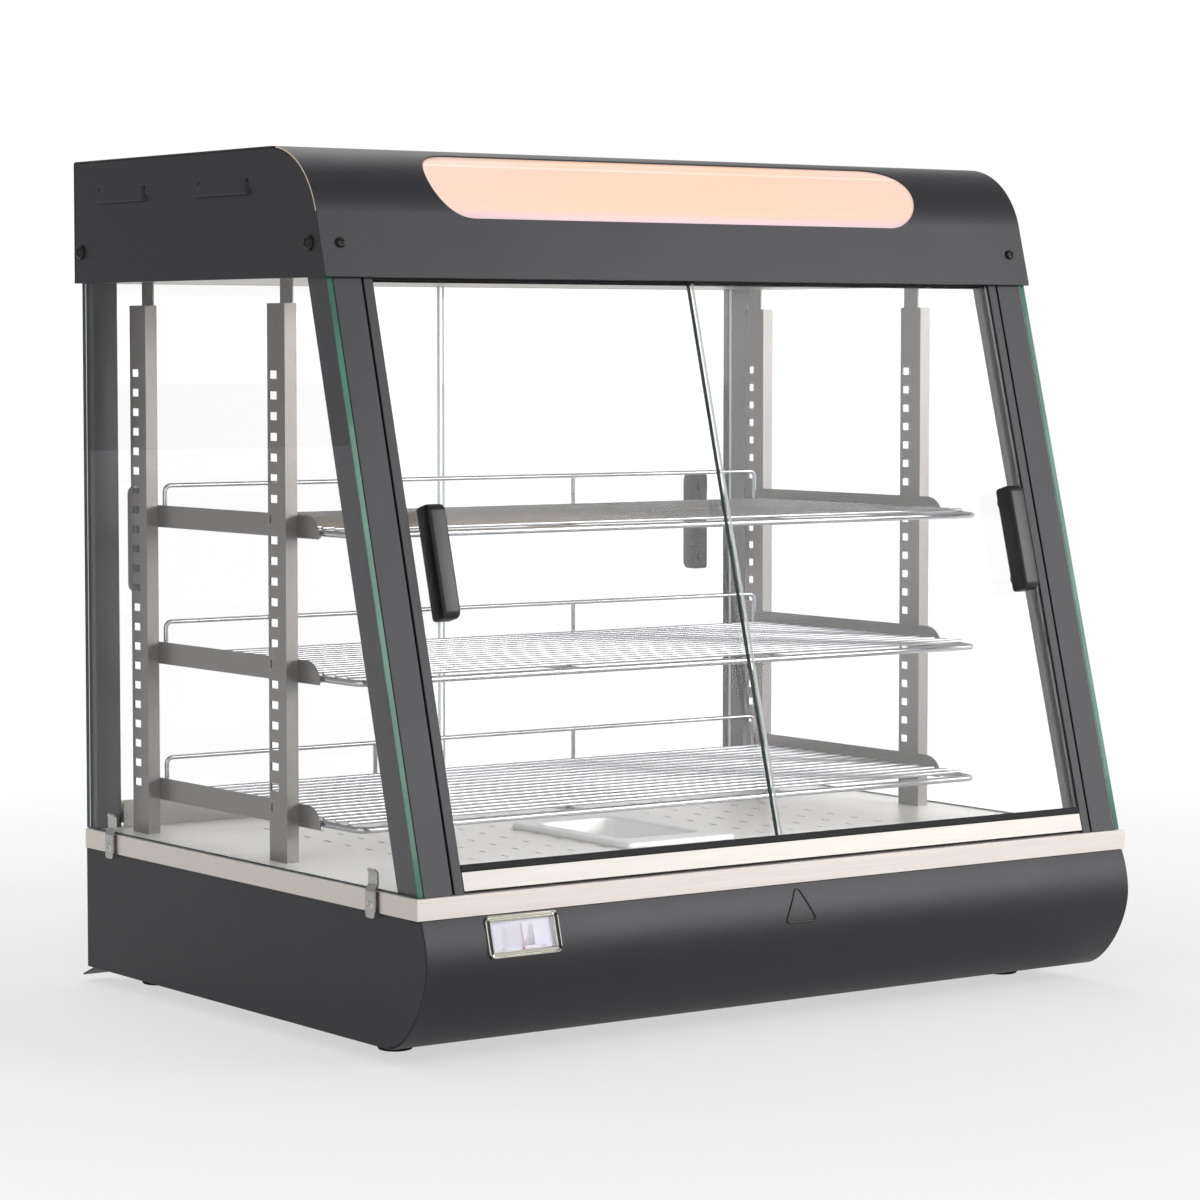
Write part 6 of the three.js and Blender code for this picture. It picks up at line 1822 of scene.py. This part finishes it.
@dataclass
class Canopy:
    """The wrapped cover with its sign window, the end panels, the lit sign and the lamp."""

    radius: float = 65 * MM
    rear_fold: float = 2.5 * MM
    sheet: float = 1.2 * MM
    window_side: float = 102 * MM
    window_height: float = 65 * MM
    below_curve: float = 3 * MM
    notch_width: float = 2.6 * MM
    notch_length: float = 7 * MM
    sign_margin: float = 8 * MM
    sign_gap: float = 0.3 * MM
    sign_sheet: float = 3 * MM
    screw_rise: float = 24 * MM
    screw_inset: float = 16 * MM
    end_screws: tuple[float, float] = (16.3 * MM, 11 * MM)
    slope_screw: PanHeadScrew = PanHeadScrew(3.9 * MM, 2.6 * MM)
    end_screw: PanHeadScrew = PanHeadScrew(5.9 * MM, 2.9 * MM)
    cap_length: float = 14 * MM
    burr: float = 0.05 * MM
    hood_rise: float = 61.5 * MM
    hood_height: float = 12.5 * MM
    hood_depth: float = 2.6 * MM
    hood_half: float = 37.7 * MM
    hood_taper: float = 7.5 * MM
    hood_ease: float = 3.5 * MM
    hood_sheet: float = 0.35 * MM
    hood_spots: tuple[float, float] = (77 * MM, 231.5 * MM)

    def __post_init__(self) -> None:
        """Reads the cover's place and lays out its section."""
        self.box = Extent.of("canopy_cover")
        self.lip_z = Extent.of("canopy_end_left").low.z + 0.4 * MM
        low, high = self.box.low, self.box.high
        rise = high.z - self.lip_z
        lip = Vector((low.y, self.lip_z))
        corner = Vector((low.y + rise * math.tan(LEAN), high.z))
        corners = [lip, corner, Vector((high.y, high.z)), Vector((high.y, self.lip_z))]
        self.run = Run(fillet(corners, [0, self.radius, self.rear_fold, 0], 64))
        self.curve_start = (self.run.points[1] - lip).length
        self.curve_end = self.curve_start + self.radius * (math.pi / 2 - LEAN)

    def cover(self) -> None:
        """The sheet, laid out flat as a grid round the window and then bent."""
        half = self.box.high.x
        window_half = half - self.window_side
        bow = self.window_height / 2
        w0 = self.curve_start - self.below_curve
        w1 = w0 + self.window_height
        straight = window_half - bow
        window = [w0 + (w1 - w0) * (0.5 - 0.5 * math.cos(math.pi * i / 40)) for i in range(41)]
        below = [w0 * i / 6 for i in range(6)]
        notch0 = self.curve_end - self.notch_length
        above = [w1 + (notch0 - w1) * i / 4 for i in range(1, 4)]
        above += [notch0 + self.notch_length * i / 3 for i in range(4)]
        flat_end = self.run.length - (self.box.size.z - self.rear_fold)
        above += [self.curve_end + (flat_end - self.curve_end) * share for share in (0.33, 0.66, 0.97)]
        fold = self.rear_fold * math.pi / 2
        top_end = self.run.length - (self.box.high.z - self.lip_z - self.rear_fold) - fold
        above = [a for a in above if a < top_end - 1 * MM]
        above += [top_end + fold * i / 6 for i in range(7)]
        above += [self.run.length - 30 * MM, self.run.length]
        lengths = below + window + above
        rows = []
        for length in lengths:
            inside = w0 <= length <= w1
            bend = math.sqrt(max(bow**2 - (length - w0 - bow) ** 2, 0)) if inside else 0.0
            edge = straight + bend
            outer = half - self.notch_width
            left = [-half, -outer] + [-outer + (outer - edge) * i / 6 for i in range(1, 7)]
            middle = [-edge + 2 * edge * i / 6 for i in range(1, 6)]
            xs = left + middle + [-x for x in reversed(left)]
            point = self.run.at(length)
            rows.append([Vector((x, point.x, point.y)) for x in xs])
        piece = Piece("cover_sheet", COAT)
        verts = [[piece.build.verts.new(p) for p in row] for row in rows]
        columns = len(verts[0]) - 1
        for i, (low, high) in enumerate(zip(verts, verts[1:])):
            middle_of_row = (lengths[i] + lengths[i + 1]) / 2
            in_window = w0 < middle_of_row < w1
            in_notch = notch0 < middle_of_row < self.curve_end
            for j in range(columns):
                if in_window and 7 <= j < columns - 7 or in_notch and j in (0, columns - 1):
                    continue
                piece.skin((low[j], low[j + 1], high[j + 1], high[j]), 0)
        piece.make(CASE, "canopy_cover", sheet=self.sheet, edge=0.28 * MM, sided=True)

    def bare_edges(self) -> None:
        """The sheared edge of the cover's sheet along the curve, drawn pale: a painted highlight where it
        catches the light.
        """
        half = self.box.high.x
        first, last = self.curve_start * 0.45, self.curve_end - self.notch_length
        inner = shifted(self.run.points, -self.sheet, closed=False)
        marked = zip(self.run.points, inner, self.run.marks)
        edge = [(a, b) for a, b, length in marked if first < length < last]
        for side, sign in (("left", -1), ("right", 1)):
            rings = []
            for outer_point, inner_point in edge:
                a, b = outer_point.lerp(inner_point, 0.08), outer_point.lerp(inner_point, 0.92)
                x0, x1 = sign * half, sign * (half + self.burr)
                rings.append([Vector((x, p.x, p.y)) for x, p in ((x0, a), (x0, b), (x1, b), (x1, a))])
            Piece(f"cover_edge_highlight_{side}", EDGE_HIGHLIGHT_COAT).loft(rings).make(CASE)

    def hood(self, name: str, sign: int, centre_y: float) -> None:
        """The drawn skin of one louvre: it swells from the panel and ends in a sharp open lip below.

        Args:
            name: The object's name.
            sign: -1 at the left and 1 at the right.
            centre_y: Its middle.
        """
        face = self.box.high.x - PANEL_GAP
        foot = Extent.of("canopy_end_left").low.z + self.hood_rise
        piece = Piece(name, COAT)
        rows = []
        for i in range(13):
            drop = i / 12
            half = self.hood_half + self.hood_ease - self.hood_taper * (1 - drop)
            row = []
            for j in range(49):
                y = half * (j / 24 - 1)
                near = min(1.0, (half - abs(y)) / self.hood_ease)
                swell = near * near * (3 - 2 * near)
                out = self.hood_depth * swell * min(1.0, drop * 1.06 + 0.02) - 0.08 * MM
                z = foot + self.hood_height * (1 - drop) - 0.15 * MM
                row.append(piece.build.verts.new((sign * (face + out), centre_y + y * sign, z)))
            rows.append(row)
        for upper, lower in zip(rows, rows[1:]):
            for j in range(48):
                piece.skin((lower[j], upper[j], upper[j + 1], lower[j + 1])[::-1], 0)
        piece.make(CASE, sheet=self.hood_sheet, sided=True)

    def hoods(self) -> None:
        """Two louvres on each end panel."""
        for side, sign in (("left", -1), ("right", 1)):
            for end, inset in zip(("rear", "front"), self.hood_spots):
                self.hood(f"louvre_skin_{end}_{side}", sign, self.box.high.y - inset)

    def sign(self) -> None:
        """The opal sheet behind the window, bent to the cover's inside."""
        half = self.box.high.x - self.window_side + self.sign_margin
        inner = Run(shifted(self.run.points, -self.sheet - self.sign_gap, closed=False))
        shrink = inner.length / self.run.length
        start = self.curve_start - self.below_curve - self.sign_margin
        end = (start + self.window_height + 2 * self.sign_margin) * (0.5 + 0.5 * shrink)
        steps = 40
        line = [inner.at(start + (end - start) * i / steps) for i in range(steps + 1)]
        outline = line + list(reversed(shifted(line, -self.sign_sheet, closed=False)))
        piece = Piece("lit_sign", OPAL)
        piece.pillow(outline, -half, half, Axis.X, 0.5 * MM, 2)
        piece.make(CASE, "sign_panel", crease=50)

    def screws(self) -> None:
        """Black pan heads on the slope and on both end panels."""
        half = self.box.high.x
        height = self.lip_z + self.screw_rise
        along = self.screw_rise / math.cos(LEAN)
        spot = self.run.at(along)
        facing = Matrix.Rotation(math.pi / 2 - LEAN, 4, "X")
        for side, x in (("left", self.screw_inset - half), ("right", half - self.screw_inset)):
            piece = Piece(f"cover_screw_{side}", COAT_DARK)
            place = Matrix.Translation((x, spot.x, spot.y)) @ facing @ Matrix.Translation((0, 0, -0.3 * MM))
            self.slope_screw.add(piece, place @ Matrix.Rotation(math.radians(30), 4, "Z"))
            piece.make(CASE, crease=35)
        for side, sign in (("left", -1), ("right", 1)):
            front = spot.x + self.end_screws[0]
            rear = self.box.high.y - self.end_screws[1]
            for end, y in (("front", front), ("rear", rear)):
                piece = Piece(f"end_screw_{end}_{side}", COAT_DARK)
                outward = Matrix.Rotation(sign * math.pi / 2, 4, "Y")
                place = Matrix.Translation((sign * (half - 0.5 * MM), y, height)) @ outward
                self.end_screw.add(piece, place @ Matrix.Rotation(math.radians(35), 4, "Z"))
                piece.make(CASE, crease=35)

    def lamp(self) -> None:
        """The frosted tube with its metal caps."""
        box = Extent.of("lamp_tube")
        radius = box.size.z / 2
        centre = Vector((box.low.x, box.centre.y, box.centre.z))
        length, cap = box.size.x, self.cap_length
        piece = Piece("lamp_glass", LAMP_GLASS, SCREW_STEEL)
        glass = [
            (radius * 0.93, cap - 1 * MM), (radius * 0.95, cap), (radius * 0.95, length - cap),
            (radius * 0.93, length - cap + 1 * MM),
        ]
        piece.lathe(glass, Axis.X, centre, 36)
        for start in (0.0, length - cap):
            profile = [
                (radius * 0.9, start), (radius, start + 0.8 * MM), (radius, start + cap - 0.8 * MM),
                (radius * 0.9, start + cap),
            ]
            piece.lathe(profile, Axis.X, centre, 36, finish=1)
        piece.make(CASE, "lamp_tube")

    def build(self) -> None:
        """Makes and dresses the canopy."""
        self.cover()
        self.bare_edges()
        self.hoods()
        self.sign()
        self.screws()
        self.lamp()
        dress(COAT, "canopy_end_left", "canopy_end_right", edge=0.5 * MM)
        dress(CEILING_STEEL, "ceiling_panel", "lamp_batten", edge=0.3 * MM)


# Studio


@dataclass
class Studio:
    """Pale floor, white surround, soft lamps and the camera at the photograph's angle."""

    camera_side: float = -1736.6 * MM
    camera_before_rim: float = 2183.2 * MM
    camera_height: float = 500 * MM
    azimuth: float = math.radians(35.552)
    tilt: float = math.radians(3.792)
    lens: float = 114.507
    sensor: float = 36.0
    floor_half: float = 14.0
    floor_colour: str = "#E6E6E6"
    floor_roughness: float = 0.9
    floor_specular: float = 0.1
    ambient: float = 0.5
    mirrored: tuple[float, float, float] = (0.36, 1.0, 0.36)
    mirrored_span: tuple[float, float] = (-1.4, -0.2)
    overhead_span: tuple[float, float] = (0.3, 0.7)
    floor_fade: tuple[float, float] = (0.5, 1.5)
    floor_glow: float = 0.6
    floor_mirrored: float = 0.45
    floor_drop: float = 0.2 * MM
    aim: tuple[float, float, float] = (0, 0, 0.3)
    clip: tuple[float, float] = (0.05, 60)
    lamps: tuple[tuple[str, Point, float, float, bool], ...] = (
        ("key", (1.9, -2.6, 1.25), 1.7, 52, True),
        ("fill", (-2.6, -1.2, 1.3), 2.0, 18, False),
        ("top", (0.4, 1.4, 2.6), 2.2, 20, True),
    )

    def camera(self) -> None:
        """The camera, level from side to side."""
        data = bpy.data.cameras.new("photo_camera")
        data.lens, data.sensor_width, data.sensor_fit = self.lens, self.sensor, "HORIZONTAL"
        data.clip_start, data.clip_end = self.clip
        made = bpy.data.objects.new("photo_camera", data)
        bpy.context.scene.collection.objects.link(made)
        flat = math.cos(self.tilt)
        forward = Vector((math.sin(self.azimuth) * flat, math.cos(self.azimuth) * flat, -math.sin(self.tilt)))
        rim = Extent.of("deck").low.y
        made.location = (self.camera_side, rim - self.camera_before_rim, self.camera_height)
        made.rotation_mode = "QUATERNION"
        made.rotation_quaternion = forward.to_track_quat("-Z", "Y")
        bpy.context.scene.camera = made

    def lamp(self, name: str, place: Point, size: float, power: float, mirrored: bool) -> None:
        """A square soft lamp that points at the case.

        Args:
            name: The lamp's name.
            place: Where it stands.
            size: Its side.
            power: Its power in watts.
            mirrored: Whether its square shows in gloss and glass.
        """
        data = bpy.data.lights.new(name, "AREA")
        data.energy, data.size = power, size
        made = bpy.data.objects.new(name, data)
        made.location = place
        made.visible_glossy = mirrored
        made.rotation_mode = "QUATERNION"
        made.rotation_quaternion = (Vector(self.aim) - Vector(place)).to_track_quat("-Z", "Y")
        bpy.context.scene.collection.objects.link(made)

    def seen(self, tree: Tree) -> Socket:
        """How far the floor is plain white for a ray.

        Args:
            tree: The floor's nodes.

        Returns:
            1 for rays from the camera and through glass, a share for mirrored rays, and 0 for rays that
            carry light.
        """
        path = add_node(tree, "ShaderNodeLightPath")
        either = add_node(tree, "ShaderNodeMath", {"operation": "MAXIMUM"},
                          {0: path.outputs["Is Camera Ray"], 1: path.outputs["Is Transmission Ray"]})
        glossy = add_node(tree, "ShaderNodeMath", {"operation": "MULTIPLY", 1: self.floor_mirrored},
                          {0: path.outputs["Is Glossy Ray"]})
        return add_node(tree, "ShaderNodeMath", {"operation": "MAXIMUM"},
                        {0: either.outputs[0], 1: glossy.outputs[0]}).outputs[0]

    def world(self) -> None:
        """A white surround that lights at a lower level.

        In mirrors it is dimmer overhead and at the left rear. Through glass it is plain white only for rays
        that come straight from the camera. After a mirrored bounce such a ray sees what mirrors see, and
        after a diffuse one only the level of the light.
        """
        world = bpy.data.worlds.new("surround")
        world.use_nodes = True
        bpy.context.scene.world = world
        tree = world.node_tree
        back = tree.nodes["Background"]
        back.inputs["Color"].default_value = (1, 1, 1, 1)
        left, right, above = self.mirrored
        way = add_node(tree, "ShaderNodeTexCoord").outputs["Generated"]
        parts = add_node(tree, "ShaderNodeSeparateXYZ", links={"Vector": way})
        across = {"operation": "SUBTRACT"}
        turn = add_node(tree, "ShaderNodeMath", across, {0: parts.outputs["X"], 1: parts.outputs["Y"]})
        start, end = self.mirrored_span
        span = {"From Min": start, "From Max": end, "To Min": left, "To Max": right}
        level = add_node(tree, "ShaderNodeMapRange", span, {"Value": turn.outputs[0]})
        low, high = self.overhead_span
        rise = {"From Min": low, "From Max": high, "interpolation_type": "SMOOTHSTEP"}
        share = add_node(tree, "ShaderNodeMapRange", rise, {"Value": parts.outputs["Z"]})
        sky = add_node(tree, "ShaderNodeMix", {"data_type": "FLOAT", 3: above},
                       {0: share.outputs["Result"], 2: level.outputs["Result"]})
        path = add_node(tree, "ShaderNodeLightPath").outputs
        through = path["Is Transmission Ray"]
        both = add_node(tree, "ShaderNodeMath", {"operation": "ADD", "use_clamp": True},
                        {0: path["Glossy Depth"], 1: path["Diffuse Depth"]})
        fresh = add_node(tree, "ShaderNodeMath", {"operation": "SUBTRACT", 0: 1.0}, {1: both.outputs[0]})
        clear = add_node(tree, "ShaderNodeMath", {"operation": "MULTIPLY"}, {0: through, 1: fresh.outputs[0]})
        direct = add_node(tree, "ShaderNodeMath", {"operation": "MAXIMUM"},
                          {0: clear.outputs[0], 1: path["Is Camera Ray"]})
        onward = add_node(tree, "ShaderNodeMath", {"operation": "MULTIPLY", "use_clamp": True},
                          {0: through, 1: path["Glossy Depth"]})
        mirrored = add_node(tree, "ShaderNodeMath", {"operation": "MAXIMUM"},
                            {0: onward.outputs[0], 1: path["Is Glossy Ray"]})
        lit = add_node(tree, "ShaderNodeMix", {"data_type": "FLOAT", 2: self.ambient},
                       {0: mirrored.outputs[0], 3: sky.outputs[0]})
        strength = add_node(tree, "ShaderNodeMix", {"data_type": "FLOAT", 3: 1.0},
                            {0: direct.outputs[0], 2: lit.outputs[0]})
        tree.links.new(strength.outputs[0], back.inputs["Strength"])

    def floor(self) -> None:
        """A wide pale floor that keeps the shadow near the case and is plain white further off."""
        mesh = bpy.data.meshes.new("floor")
        h = self.floor_half
        mesh.from_pydata([(-h, -h, 0), (h, -h, 0), (h, h, 0), (-h, h, 0)], [], [(0, 1, 2, 3)])
        made = bpy.data.objects.new("floor", mesh)
        made.location.z = -self.floor_drop
        bpy.context.scene.collection.objects.link(made)
        material = bpy.data.materials.new("studio_floor")
        material.use_nodes = True
        tree = material.node_tree
        shader = tree.nodes["Principled BSDF"]
        shader.inputs["Base Color"].default_value = linear(self.floor_colour)
        shader.inputs["Roughness"].default_value = self.floor_roughness
        shader.inputs["Specular IOR Level"].default_value = self.floor_specular
        place = add_node(tree, "ShaderNodeTexCoord").outputs["Object"]
        away = add_node(tree, "ShaderNodeVectorMath", {"operation": "LENGTH"}, {0: place})
        near, far = self.floor_fade
        span = {"From Min": near, "From Max": far, "To Min": self.floor_glow, "To Max": 1.0}
        fade = add_node(tree, "ShaderNodeMapRange", span, {"Value": away.outputs["Value"]})
        white = add_node(tree, "ShaderNodeEmission", {"Color": (1, 1, 1, 1)})
        both = {0: fade.outputs["Result"], 1: self.seen(tree)}
        share = add_node(tree, "ShaderNodeMath", {"operation": "MULTIPLY"}, both)
        links = {0: share.outputs[0], 1: shader.outputs[0], 2: white.outputs[0]}
        mixed = add_node(tree, "ShaderNodeMixShader", links=links)
        tree.links.new(mixed.outputs[0], tree.nodes["Material Output"].inputs["Surface"])
        mesh.materials.append(material)

    def build(self) -> None:
        """Sets up the studio."""
        self.camera()
        self.world()
        self.floor()
        for name, place, size, power, mirrored in self.lamps:
            self.lamp(name, place, size, power, mirrored)
        bpy.context.scene.view_settings.view_transform = "Standard"


def main() -> None:
    """Builds the studio and every sub-assembly in order."""
    logging.basicConfig(level=logging.INFO, format="%(name)s: %(message)s")
    Studio().build()
    glazing = Glazing()
    parts = [
        Base(), RimAndPan(), Thermometer(), Controls(), glazing, Doors(glazing=glazing),
        ShelfSupports(), Canopy(),
    ]
    for part in parts:
        part.build()
        LOG.info("%s done", type(part).__name__)


if __name__ == "__main__":
    main()
